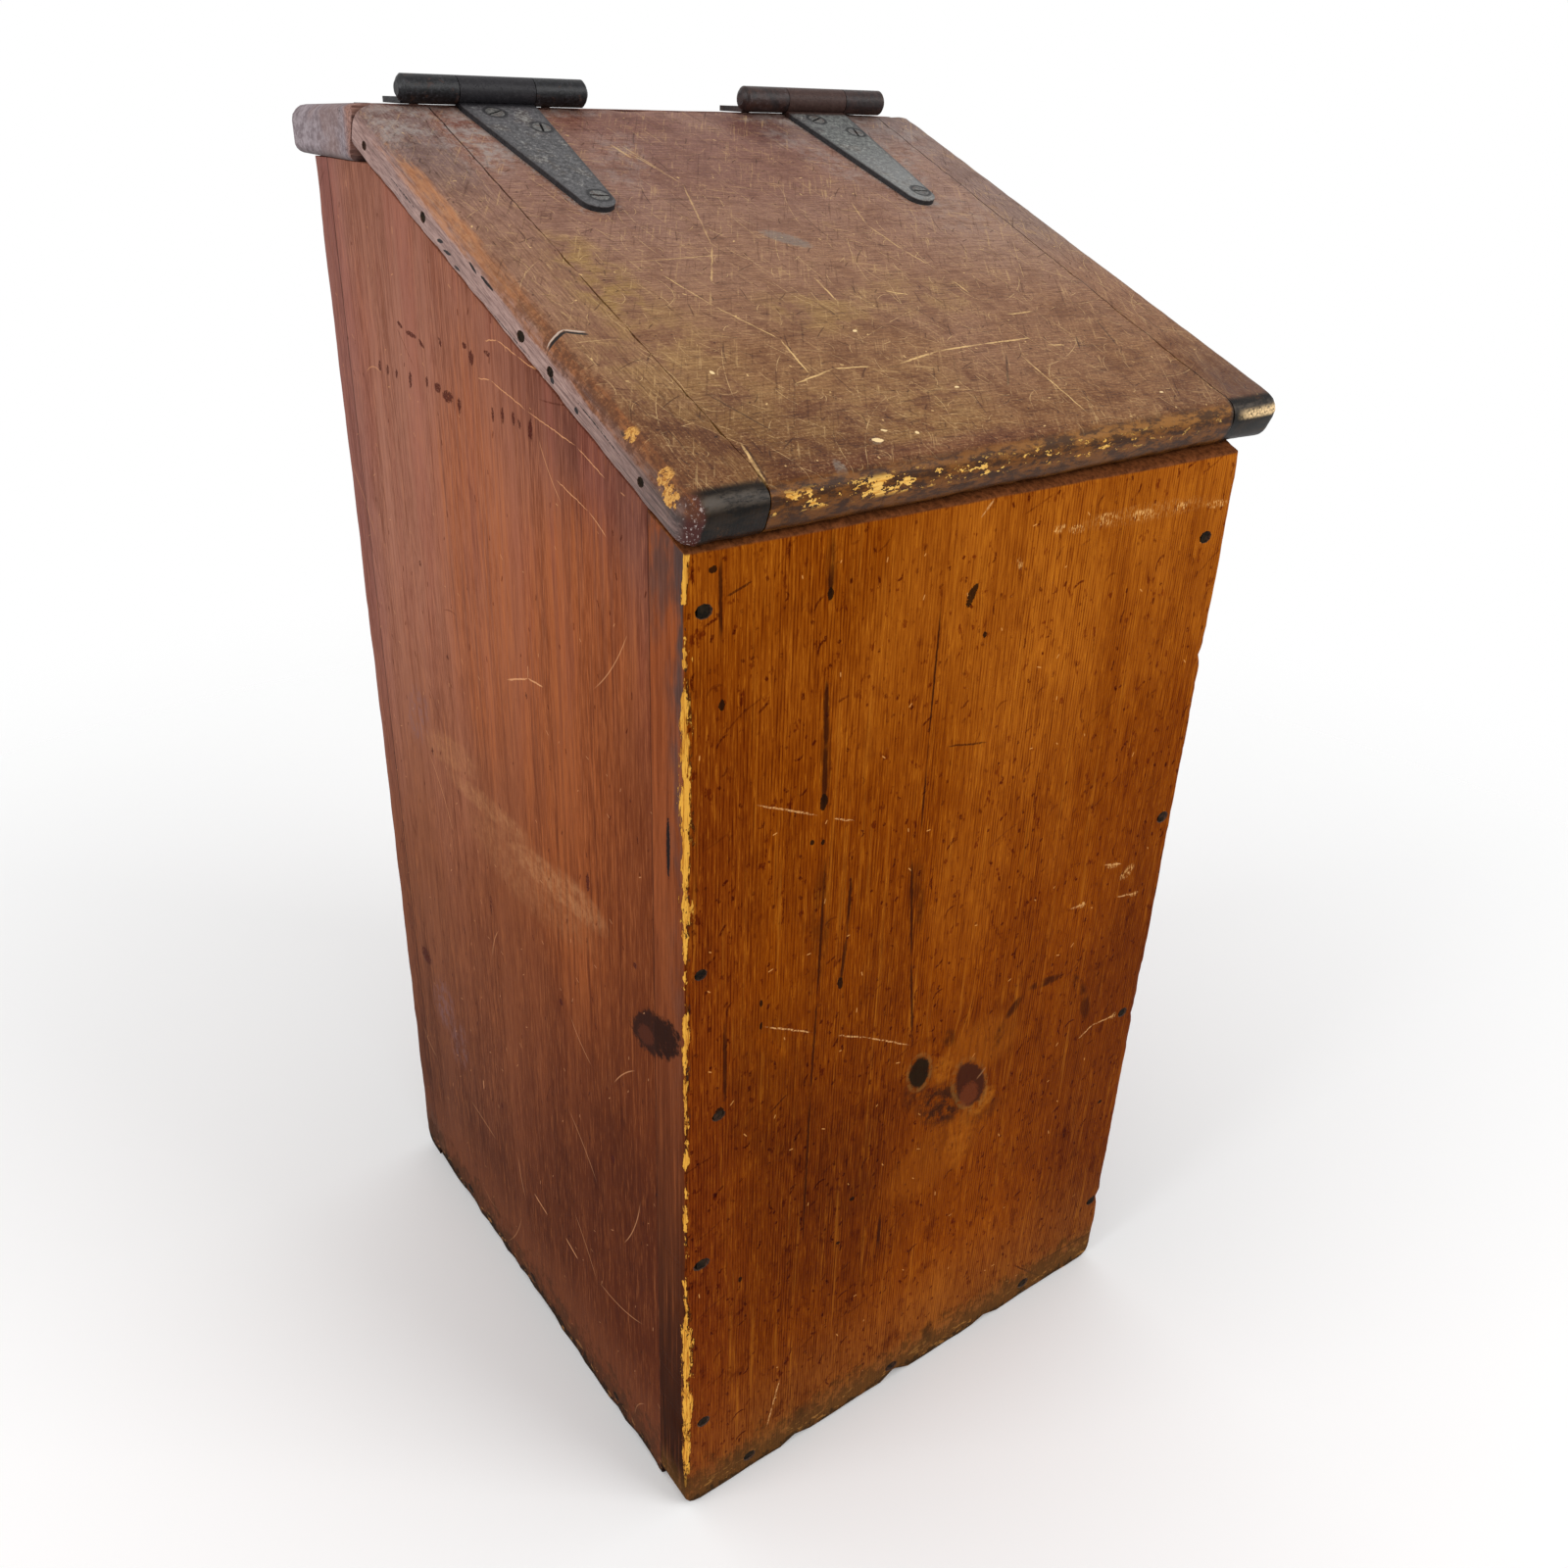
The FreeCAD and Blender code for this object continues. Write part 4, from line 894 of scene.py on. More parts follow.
    bright = g.lines(plane, mine([
        (0.55, -70.2, 58, -46.1, 65.2, -29.2, 64.1), (0.60, -14.1, 64, 12, 69.8, 38.4, 71.5, 67.3, 72.4),
        (0.55, 72.6, 66.1, 81.4, 64.9), (0.50, 69, 91.7, 86, 92.2), (0.85, -113.5, 27.4, -117.4, 3.4),
        (0.60, -11, 131.7, -12.3, 111.9), (0.50, 61, 121.1, 62.1, 110.8),
        (0.50, -40, 244.7, -28.2, 213.8, -45.3, 159.8, -62.9, 130.9), (0.40, -92.2, 149.5, -43, 152.2),
        (0.50, -82, 139.5, -71.9, 113.7, -57.3, 87.9, -59.4, 63.7),
        (0.55, 54.3, 194, 48.4, 172.7, 53, 148.9, 57.4, 136.2), (0.45, 51.2, 62, 51.6, 16),
        (0.50, -39.9, 251.4, -30.8, 222), (0.80, -44.6, 251.3, -41.2, 238.5),
        (0.50, 17.5, 116.8, 27.7, 112.6),
    ], 1))
    bright = bright * (0.4 + 0.6 * fading_and_sheen) * rag.ramp(0.26, 0.46)
    g.paint(bright * (0.42 + 0.43 * up.ramp(0.17, 0.09)) * on_top, tone(226, 186, 124))
    cuts = g.lines(plane, mine([
        (0.60, 117.5, 81.8, 111, 59.3), (0.55, 94, 70.5, 87.6, 60.9), (0.60, 44.4, 63, 26.3, 40.4),
        (0.55, -112.4, 27, -116, 4), (0.55, -110.3, 60, -96, 30),
    ], 1))
    g.paint(cuts * 0.6 * on_top, tone(50, 30, 18))
    flakes = g.marks(plane, mine([
        (-58.4, 19.1, 3.2, 1.7, -20), (-51.8, 24.2, 1.8, 0.8, -20), (-38.4, 20.3, 1.3, 1.2, 0),
        (-99.5, 70.6, 1.2, 1.5, 0), (-18.9, 89, 1.5, 1, 20), (1.4, 44.4, 1.7, 0.8, 0, 0.7),
        (104.3, 23.9, 1.5, 0.7, 0, 0.7),
    ]))
    g.paint(g.torn(flakes, rag) * on_top, tone(236, 204, 150))

    # The nose: dark brown, darker on its lower part, with a painted tan highlight along its upper corner and
    # bare yellow chips.
    front_line = (LID_FRONT_RIGHT - LID_FRONT_LEFT) / (LID_RIGHT_FRONT - LID_LEFT)
    forward = up - LID_FRONT_LEFT - (x - LID_LEFT) * front_line
    nose = forward.ramp(8.0 * MM, 3.0 * MM)
    rub_and_gleam = g.noise(g.stretched(0.35, place=flat), 260, 4.0, 0.75)
    nose_tone = g.mix(rub_and_gleam.ramp(0.40, 0.60), tone(52, 25, 3), tone(114, 66, 12))
    under = above.ramp(11 * MM, 3 * MM)
    nose_tone = g.mix(under * 0.55, nose_tone, tone(58, 30, 4))
    g.paint(nose * 0.94, nose_tone)
    # Painted highlight: a streaky tan band along the nose's upper corner, stronger to the right.
    upper = above.ramp(LID_TOP - 6.0 * MM, LID_TOP - 3.0 * MM)
    upper = upper * above.ramp(LID_TOP - 0.05 * MM, LID_TOP - 1.6 * MM)
    tan = upper * forward.ramp(9 * MM, 6 * MM) * (rub_and_gleam.ramp(0.44, 0.60) * 0.75 + 0.15)
    g.paint(tan * (x.ramp(-0.05, 0.06) * 0.26 + 0.08), tone(190, 134, 64))
    chips_at = g.noise(g.stretched(0.55, place=flat), 330, 3.0, 0.7)
    amount = g.level(
        (x - LID_LEFT) * 3.05,
        (0.00, 0), (0.11, 0.05), (0.125, 0.62), (0.160, 0.62), (0.185, 0.30), (0.222, 0.35), (0.235, 1.00),
        (0.285, 0.95), (0.305, 0.30), (0.330, 0.55), (0.360, 0.40), (0.400, 0.62), (0.460, 0.36),
        (0.60, 0.38), (0.80, 0.34), (1.00, 0.2),
    )
    low_band = above.ramp(LID_TOP - 11.0 * MM, LID_TOP - 8.5 * MM)
    band = low_band * above.ramp(LID_TOP - 1.6 * MM, LID_TOP - 4.0 * MM)
    band = band * (1 - x.ramp(0.055, 0.085) * 0.5)
    chips_at = chips_at + (rag - 0.5) * 0.25
    chips = (chips_at + amount * 0.17 - 0.665).ramp(-0.008, 0.012) * band * nose
    chip_rim = (chips_at + amount * 0.17 - 0.64).ramp(-0.02, 0.012) * band * nose
    g.paint(chip_rim * 0.5, tone(50, 26, 8))
    g.paint(chips, g.mix(fibre.ramp(0.36, 0.6), tone(204, 140, 48), tone(240, 190, 96)))
    # The joint at the right seam on the nose: a dark gap, flecked with painted glints.
    joint = abs(x - RIGHT_SEAM - 1.5 * MM).ramp(4.2 * MM, 1.8 * MM) * forward.ramp(10 * MM, 6 * MM)
    g.paint(joint * 0.9, g.mix(rag.ramp(0.60, 0.68), tone(24, 19, 15), tone(150, 140, 132)))
    dusk = x.ramp(RIGHT_SEAM - 4 * MM, RIGHT_SEAM + 10 * MM) * up.ramp(0.075, 0.01) * on_top
    g.paint(dusk * mottle.ramp(0.30, 0.56) * 0.7, tone(84, 60, 54))
    if along_slope:
        # End grain at the battens' front ends is nearly black, with a painted highlight along its top, a worn
        # corner flecked with painted glints, and a painted gleam on the right batten's nose.
        black = forward.ramp(10 * MM, 6.5 * MM) * (mottle * 0.6 + rag * 0.4).ramp(0.34, 0.44)
        dark = g.mix(rub_and_gleam.ramp(0.44, 0.66), tone(5, 4, 2), tone(24, 18, 10))
        g.paint(black * 0.96, dark)
        # Painted highlight along the black ends' top edge.
        ridge_highlight = above.ramp(LID_TOP - 5.5 * MM, LID_TOP - 3 * MM) * forward.ramp(6 * MM, 4 * MM)
        g.paint(ridge_highlight * black * rub_and_gleam.ramp(0.36, 0.6) * 0.6, tone(92, 82, 72))
        worn = g.marks(plane, [(-149.5, 2.0, 7.0, 9.0, 20, 0.95)])
        # The worn corner's pale flecks are painted glints.
        corner_glint_tone = g.mix(rag.ramp(0.57, 0.66), tone(70, 34, 30), tone(184, 168, 162))
        g.paint(g.torn(worn, mottle, 0.3), corner_glint_tone)
        gleam = (above - LID_TOP + 4.5 * MM).ramp(-2.6 * MM, -0.6 * MM)
        gleam = gleam * (above - LID_TOP + 4.5 * MM).ramp(2.6 * MM, 0.6 * MM) * rag.ramp(0.34, 0.54)
        g.paint(gleam * nose * x.ramp(0.139, 0.150) * 0.95, tone(246, 210, 156))
        # The left batten's outer edge: grey-violet side, brown corner rubbed to the wood.
        outer = (x - LID_LEFT).ramp(2.6 * MM, 0.6 * MM)
        outer_tone = g.mix(fibre.ramp(0.30, 0.66), tone(122, 94, 88), tone(172, 142, 134))
        outer_tone = g.mix(streaks.ramp(0.50, 0.36) * 0.6, outer_tone, tone(92, 68, 64))
        outer_tone = g.mix(above.ramp(4 * MM, 1 * MM) * 0.6, outer_tone, tone(60, 44, 42))
        front_end = up.ramp(0.09, 0.0) * (0.55 + 0.4 * streaks.ramp(0.6, 0.4))
        outer_tone = g.mix(front_end, outer_tone, tone(62, 54, 52))
        g.paint(outer * 0.9, outer_tone)
        beside = (x - LID_LEFT).ramp(10.0 * MM, 3.0 * MM) * above.ramp(LID_TOP - 9.0 * MM, LID_TOP - 5.5 * MM)
        soft = g.noise(g.stretched(y=0.10, place=flat), 330, 5.0, 0.75)
        clumps = g.noise(flat, 190, 5.0, 0.8)
        low_end = up.ramp(0.185, 0.09)
        strong = g.level(
            up * 3.4,
            (0, 0.30), (0.10, 0.74), (0.35, 0.80), (0.48, 0.66), (0.62, 0.86), (0.78, 0.86), (0.86, 0.30),
            (1, 0.1),
        )
        worn_at = beside * 1.1 + strong + (soft - 0.5) * 3.2 + (clumps - 0.5) * (0.8 + low_end) - 1.32
        rubbed = worn_at.ramp(-0.1, 1.0) * beside.ramp(0.0, 0.4)
        rubbed_tone = g.mix(low_end, tone(174, 118, 78), tone(150, 92, 50))
        rubbed_tone = g.mix(fibre.ramp(0.56, 0.36) * 0.6, rubbed_tone, (0.62, 0.48, 0.40), "MULTIPLY")
        g.paint(beside * low_end * 0.35, tone(112, 72, 46))
        g.paint(rubbed * 0.85, rubbed_tone)
        burnt = (clumps + beside * 0.14 - 0.61).ramp(-0.03, 0.10) * beside.ramp(0.0, 0.3) * low_end
        g.paint(burnt * 0.6, tone(58, 30, 22))
        edge = g.place(up, above, 1.0)
        edge_marks = g.marks(edge, [
            (192.8, 8.1, 3.4, 1, -20), (186, 6.9, 4.6, 0.9, -14), (176.3, 5.5, 3.6, 0.9, -10),
            (163.3, 12.9, 4.4, 0.8, 8), (151, 13.3, 7, 0.8, 0), (93.9, 7.1, 2.2, 1.6, 0),
            (74.5, 7, 2, 1.4, 0), (45.5, 17, 2.8, 1.4, 0, 0.6), (230, 9, 20, 0.5, 1, 0.6),
            (130, 5, 26, 0.5, -1, 0.6), (60, 10, 24, 0.5, 1, 0.6),
        ])
        g.paint(g.torn(edge_marks, rag, 0.2) * outer, tone(24, 15, 15))
        chip_yellow = g.marks(edge, [
            (43.0, 18.0, 4.0, 3.0, 10, 0.9), (19.0, 17.2, 4.0, 3.0, 20, 0.75), (12.0, 14.6, 6.2, 4.0, 0, 0.7),
        ])
        chip_at = g.noise(flat, 330, 4.0, 0.75)
        chip_yellow = g.torn(chip_yellow, chip_at, 0.06, 5.0) * (x - LID_LEFT).ramp(6 * MM, 4 * MM)
        g.paint(chip_yellow, g.mix(rag.ramp(0.4, 0.56), tone(160, 104, 42), tone(210, 156, 80)))
        arc = g.lines(plane, [(0.9, -150, 100.9, -142.9, 103.8, -135, 101.4)])
        g.paint(arc, tone(30, 24, 22))
        arc_light = g.lines(plane, [(0.6, -150, 102.3, -142.9, 105.2, -135, 102.8)])
        g.paint(arc_light * 0.8, tone(196, 176, 160))

    left_line = abs(x - LEFT_SEAM).ramp(0.5 * MM, 0.15 * MM) * up.ramp(0.165, 0.215)
    right_line = abs(x - RIGHT_SEAM).ramp(0.55 * MM, 0.15 * MM)
    g.paint(left_line.most(right_line) * 0.75, tone(36, 24, 20))
    rough = 0.40 + 0.20 * fibre + 0.25 * powder + 0.2 * below - 0.12 * nose
    height = fibre * 0.6 + growth * 0.2 - pores * 0.4 - fine_net * 0.3 - dark_net * 0.6 - chips * 0.9
    return g.finish(rough, height, 0.15, 0.16)


def rail_pine(wood):
    """Grey weathered wood of the fixed rail."""
    g = Graph("weathered_rail_pine")
    _, y, z = g.axes()
    growth, fibre, streaks, pores = wood_grain(g, g.object_place, "x", 1.6)
    g.coat = g.mix(streaks.ramp(0.36, 0.64), tone(118, 104, 108), tone(156, 144, 148))
    g.shade(fibre.ramp(0.52, 0.34) * 0.4, (0.66, 0.62, 0.62))
    g.shade(growth * 0.25, (0.66, 0.6, 0.56))
    brown = g.noise(g.object_place, 26, 3.0, 0.6).ramp(0.48, 0.64)
    g.paint(brown * 0.4, tone(124, 90, 76))
    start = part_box("top_rail")[0].y
    front = y.ramp(start + 14 * MM, start + 6 * MM)
    g.paint(front * 0.8, g.mix(fibre.ramp(0.36, 0.64), tone(104, 62, 48), tone(168, 122, 104)))
    g.shade(pores * 0.5, (0.4, 0.34, 0.32))
    cracks = g.noise(g.stretched(0.08), 150, 2.0, 0.6)
    crack = abs(cracks - 0.5).ramp(0.012, 0.003) * g.noise(g.object_place, 30, 2.0, 0.5).ramp(0.5, 0.6)
    g.paint(crack * 0.75, tone(38, 30, 28))
    # Painted shade along the rail's lowest few millimetres, where it sits on the walls.
    low = z.ramp(WALL_TOP + 4 * MM, WALL_TOP)
    g.paint(low * 0.6, tone(58, 46, 44))
    return g.finish(0.6 + 0.15 * fibre, fibre * 0.6 + growth * 0.3 - crack - pores * 0.4, 0.2, 0.2)


def bottom_pine(wood):
    """Bare sawn boards inside and under the bin."""
    g = Graph("bare_bottom_pine")
    growth, fibre, _, pores = wood_grain(g, g.object_place, "x", 1.8)
    g.coat = g.mix(fibre.ramp(0.34, 0.66), tone(128, 94, 58), wood.raw)
    g.shade(growth * 0.4, (0.72, 0.62, 0.5))
    dust = g.noise(g.object_place, 40, 3.0, 0.7).ramp(0.42, 0.66)
    g.paint(dust * 0.35, tone(92, 72, 50))
    sawn = g.noise(g.stretched(1, 0.05), 420, 1.0, 0.4)
    return g.finish(0.72, fibre * 0.4 + sawn * 0.4 - pores * 0.3, 0.2, 0.15)


def nail_iron(colours):
    """Rust-black heads of the cut nails."""
    g = Graph("rusty_nail_iron")
    mottle = g.noise(g.object_place, 420, 4.0, 0.65)
    cloud = g.noise(g.object_place, 84, 3.0, 0.6)
    g.coat = g.mix(mottle.ramp(0.3, 0.7), tone(12, 8, 5), tone(42, 32, 20))
    patch = (cloud * 0.7 + mottle * 0.3).ramp(0.5, 0.62)
    g.paint(patch * 0.6, colours.rust)
    pits = g.cells(g.object_place, 1260).ramp(0.32, 0.12) * cloud.ramp(0.42, 0.6)
    g.paint(pits * 0.5, tone(24, 22, 24))
    rough = 0.7 + 0.2 * mottle + 0.15 * patch
    return g.finish(rough, mottle * 0.6 - pits * 0.8, 0.12, 0.08)


def barrel_iron(colours):
    """Blackened knuckles and rail leaves, slightly hammered; the right ones browner."""
    g = Graph("blackened_hinge_iron")
    x, _, _ = g.axes()
    mottle = g.noise(g.object_place, 650, 4.0, 0.7)
    cloud = g.noise(g.object_place, 110, 3.0, 0.6)
    g.coat = g.mix(mottle.ramp(0.34, 0.66), tone(6, 6, 8), colours.black)
    brown = x.ramp(0.0, 0.03) * (0.35 + 0.65 * cloud.ramp(0.38, 0.58))
    g.paint(brown * 0.85, g.mix(mottle, tone(26, 16, 14), tone(76, 46, 38)))
    rubbed = mottle.ramp(0.52, 0.66) * cloud.ramp(0.44, 0.60)
    g.paint(rubbed * 0.40, tone(84, 83, 88))
    rust = g.noise(g.object_place, 300, 3.0, 0.7).ramp(0.58, 0.68)
    g.paint(rust * 0.5, colours.rust)
    rough = 0.26 + 0.26 * mottle + 0.1 * rust
    return g.finish(rough, cloud * 1.4 + mottle * 0.5, 0.35, 0.32)


def strap_iron(colours):
    """Worn grey strap with dark, grimy edges and a dark ring round each screw."""
    g = Graph("worn_strap_iron")
    _, x, up, above = g.lid_axes()
    mottle = g.noise(g.object_place, 520, 4.0, 0.75)
    cloud = g.noise(g.object_place, 95, 3.0, 0.6)
    right = x.ramp(0.0, 0.03)
    pale = g.mix(right, tone(101, 99, 100), colours.worn)
    g.coat = g.mix(mottle.ramp(0.30, 0.66), tone(57, 56, 57), pale)
    g.paint(right * up.ramp(0.262, 0.205) * 0.55, tone(142, 141, 140))
    g.paint(up.ramp(0.246, 0.276) * cloud.ramp(0.42, 0.58) * 0.45, tone(74, 68, 74))
    g.paint(cloud.ramp(0.52, 0.66) * 0.4, tone(84, 74, 66))
    dust = (mottle * 0.6 + cloud * 0.4).ramp(0.54, 0.62)
    g.paint(dust * 0.45, tone(168, 166, 160))
    plane = g.place(x, up, 1.0)
    rings = None
    for hinge in HINGES:
        for across, place in STRAP_SCREWS:
            spot = (across + hinge / MM, place)
            wide = g.marks(plane, [(*spot, 7.4, 7.4, 0)])
            rings = wide if rings is None else rings.most(wide)
    g.paint(rings.ramp(0.25, 0.75) * 0.8, tone(34, 33, 35))
    line = LID_TOP + 2.5 * MM
    side = above.ramp(line - 0.15 * MM, line - 0.5 * MM)
    g.paint(side * 0.94, g.mix(mottle, tone(14, 14, 16), tone(44, 43, 46)))
    down = LID_BACK + 2.5 * MM - up
    middle = x - down * STRAP_LEAN
    for hinge in HINGES:
        inner = 18.6 * MM - down * STRAP_TAPER - abs(middle - hinge)
        edge = inner.ramp(-3 * MM, -0.2 * MM) * inner.ramp(1.5 * MM, 0.3 * MM)
        g.paint(edge * mottle.ramp(0.36, 0.56) * 0.6, tone(58, 56, 58))
    knuckle = up.ramp(LID_BACK - 7.5 * MM, LID_BACK - 3.5 * MM)
    black = g.mix(mottle, tone(14, 13, 16), tone(48, 46, 50))
    black = g.mix(right * 0.8, black, g.mix(mottle, tone(36, 22, 19), tone(92, 60, 50)))
    g.paint(knuckle * 0.95, black)
    pits = g.cells(g.object_place, 1200).ramp(0.30, 0.10) * mottle.ramp(0.4, 0.6)
    g.paint(pits * 0.6, tone(40, 38, 38))
    rough = 0.52 + 0.2 * mottle - 0.2 * knuckle
    return g.finish(rough, mottle * 0.7 + cloud * 0.6 - pits, 0.25, 0.2)


def screw_iron(colours):
    """Worn, slotted screw heads, with painted shade in the slots and round the rims."""
    g = Graph("worn_screw_iron")
    _, _, up, above = g.lid_axes()
    mottle = g.noise(g.object_place, 800, 4.0, 0.75)
    g.coat = g.mix(mottle.ramp(0.34, 0.62), tone(52, 50, 50), tone(112, 110, 106))
    rust = g.noise(g.object_place, 240, 3.0, 0.7).ramp(0.52, 0.64)
    g.paint(rust * 0.6, colours.rust)
    line = LID_TOP + 2.5 * MM
    _, _, z = g.axes()
    rail_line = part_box("right_rail_leaf_screws")[1].z
    on_lid = up.ramp(LID_BACK + 1 * MM, LID_BACK - 1 * MM)
    # Painted shade below the head's top: in the slots and round the rims.
    sunk_shade = above.ramp(line - 0.15 * MM, line - 0.45 * MM) * on_lid
    sunk_shade = sunk_shade.most(z.ramp(rail_line - 0.15 * MM, rail_line - 0.45 * MM) * (1 - on_lid))
    g.paint(sunk_shade * 0.95, tone(14, 12, 12))
    return g.finish(0.4 + 0.3 * mottle, mottle, 0.15)


def hole_material():
    """Rust-black lining of the nail holes."""
    g = Graph("nail_hole_rust")
    speckle = g.noise(g.object_place, 900, 3.0, 0.7)
    g.coat = g.mix(speckle.ramp(0.3, 0.7), tone(22, 14, 9), tone(86, 50, 26))
    return g.finish(0.8, speckle, 0.1)


# ---- modelling ----------------------------------------------------------------------


def only(piece):
    """Select this object alone, in object mode."""
    if bpy.context.object and bpy.context.object.mode != "OBJECT":
        bpy.ops.object.mode_set(mode="OBJECT")
    bpy.ops.object.select_all(action="DESELECT")
    piece.select_set(True)
    bpy.context.view_layer.objects.active = piece


def shape(piece):
    """Go into edit mode on this object alone."""
    only(piece)
    bpy.ops.object.mode_set(mode="EDIT")


def done():
    bpy.ops.object.mode_set(mode="OBJECT")


def pick(piece, kind, test):
    """Select the vertices, edges or faces that pass a test, in edit mode."""
    bpy.ops.mesh.select_mode(type=kind)
    bpy.ops.mesh.select_all(action="DESELECT")
    mesh = bmesh.from_edit_mesh(piece.data)
    parts = {"VERT": mesh.verts, "EDGE": mesh.edges, "FACE": mesh.faces}[kind]
    picked = [part for part in parts if test(part)]
    for part in picked:
        part.select_set(True)
    bmesh.update_edit_mesh(piece.data)
    return len(picked)


def runs_along(axis):
    """A test for edges that run along X, Y or Z, within a few degrees."""
    index = "XYZ".index(axis)

    def test(edge):
        run = edge.verts[1].co - edge.verts[0].co
        return abs(run[index]) > 0.9 * run.length

    return test


def lies_at(axis, place):
    """A test for edges that lie on the plane square to an axis at this place."""
    index = "XYZ".index(axis)
    return lambda edge: all(abs(v.co[index] - place) < 0.1 * MM for v in edge.verts)


def start_board(name, low, high):
    """A board's blank: a cube at its size and place."""
    bpy.ops.object.select_all(action="DESELECT")
    bpy.ops.mesh.primitive_cube_add(size=1, location=(Vector(low) + Vector(high)) / 2)
    piece = bpy.context.object
    piece.name = name
    piece.data.name = name
    piece.scale = Vector(high) - Vector(low)
    bpy.ops.object.transform_apply(location=True, rotation=True, scale=True)
    return piece


def saw(piece, point, outward):
    """Cut off what lies beyond a plane and close the cut."""
    shape(piece)
    bpy.ops.mesh.select_all(action="SELECT")
    bpy.ops.mesh.bisect(plane_co=point, plane_no=outward, use_fill=True, clear_outer=True)
    done()


def ease(piece, radius, segments, *tests):
    """Round the edges that pass every test."""
    shape(piece)
    if not pick(piece, "EDGE", lambda edge: all(test(edge) for test in tests)):
        raise RuntimeError(f"{piece.name}: no edge to round")
    bpy.ops.mesh.bevel(offset=radius, segments=segments, profile=0.5, affect="EDGES")
    done()


def sides_of(piece):
    """The flat sides of a blank, as (point, normal), before it is rounded."""
    return [(face.center.copy(), face.normal.copy()) for face in piece.data.polygons]


def add_rows(piece, axis, cuts):
    """Divide every edge that runs along an axis, so that the surface can be worn."""
    shape(piece)
    pick(piece, "EDGE", runs_along(axis))
    bpy.ops.mesh.subdivide(number_cuts=cuts)
    done()


def add_lines(piece, axis, places):
    """Cut the surface along planes square to an axis."""
    normal = Vector([1 if letter == axis else 0 for letter in "XYZ"])
    shape(piece)
    for place in places:
        bpy.ops.mesh.select_all(action="SELECT")
        bpy.ops.mesh.bisect(plane_co=normal * place, plane_no=normal)
    done()


def wear_edges(piece, sides, reach, depth, grain_size, where=lambda place: 1.0):
    """Chip and rub the board near its edges with a noise displacement. The last
    argument gives each place a share of the wear."""
    group = piece.vertex_groups.new(name="edges")
    for vertex in piece.data.vertices:
        gaps = sorted(abs((vertex.co - point).dot(normal)) for point, normal in sides)
        weight = 1 - gaps[1] / reach
        share = where(vertex.co) if weight > 0 else 0
        if share > 0:
            group.add([vertex.index], share * weight * weight * (3 - 2 * weight), "REPLACE")
    only(piece)
    texture = bpy.data.textures.new(piece.name + "_wear", "CLOUDS")
    texture.noise_scale = grain_size
    texture.noise_depth = 3
    texture.contrast = 2.2
    texture.intensity = 0.85
    texture.use_clamp = True
    modifier = piece.modifiers.new("wear", "DISPLACE")
    modifier.texture = texture
    modifier.texture_coords = "LOCAL"
    modifier.vertex_group = "edges"
    modifier.mid_level = 0.0
    modifier.strength = -depth
    bpy.ops.object.modifier_apply(modifier="wear")
    piece.vertex_groups.clear()


def press(piece, dents):
    """Push small dents and notches in: each is (place, reach, push), the last two in
    millimetres."""
    shape(piece)
    for place, reach, push in dents:
        mesh = bmesh.from_edit_mesh(piece.data)
        nearest = min(mesh.verts, key=lambda vertex: (vertex.co - Vector(place)).length)
        bpy.ops.mesh.select_all(action="DESELECT")
        nearest.select_set(True)
        bmesh.update_edit_mesh(piece.data)
        bpy.ops.transform.translate(
            value=[part * MM for part in push],
            use_proportional_edit=True,
            proportional_edit_falloff="SMOOTH",
            proportional_size=reach * MM,
        )
    done()


def nail_heads(node):
    """Where each nail of a node has its head and which way it faces."""
    mesh = bmesh.new()
    mesh.from_mesh(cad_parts[node].data)
    bmesh.ops.remove_doubles(mesh, verts=mesh.verts, dist=1e-6)
    left = set(mesh.verts)
    heads = []
    while left:
        nail = set()
        edge = [left.pop()]
        while edge:
            vertex = edge.pop()
            nail.add(vertex)
            near = {link.other_vert(vertex) for link in vertex.link_edges} & left
            left -= near
            edge += near
        low = Vector([min(v.co[i] for v in nail) for i in range(3)])
        high = Vector([max(v.co[i] for v in nail) for i in range(3)])
        span = high - low
        axis = max(range(3), key=lambda i: span[i])
        outward = Vector((0, 0, 0))
        outward[axis] = 1 if axis == 2 or low[axis] + high[axis] > 0 else -1
        rim = high[axis] - MM if outward[axis] > 0 else low[axis] + MM
        # Sorted, because a set of vertices has another order on each run.
        ends = sorted(tuple(v.co) for v in nail if (v.co[axis] - rim) * outward[axis] > 0)
        heads.append((sum(map(Vector, ends), Vector()) / len(ends), outward))
    mesh.free()
    return sorted(heads, key=lambda head: tuple(head[0]))


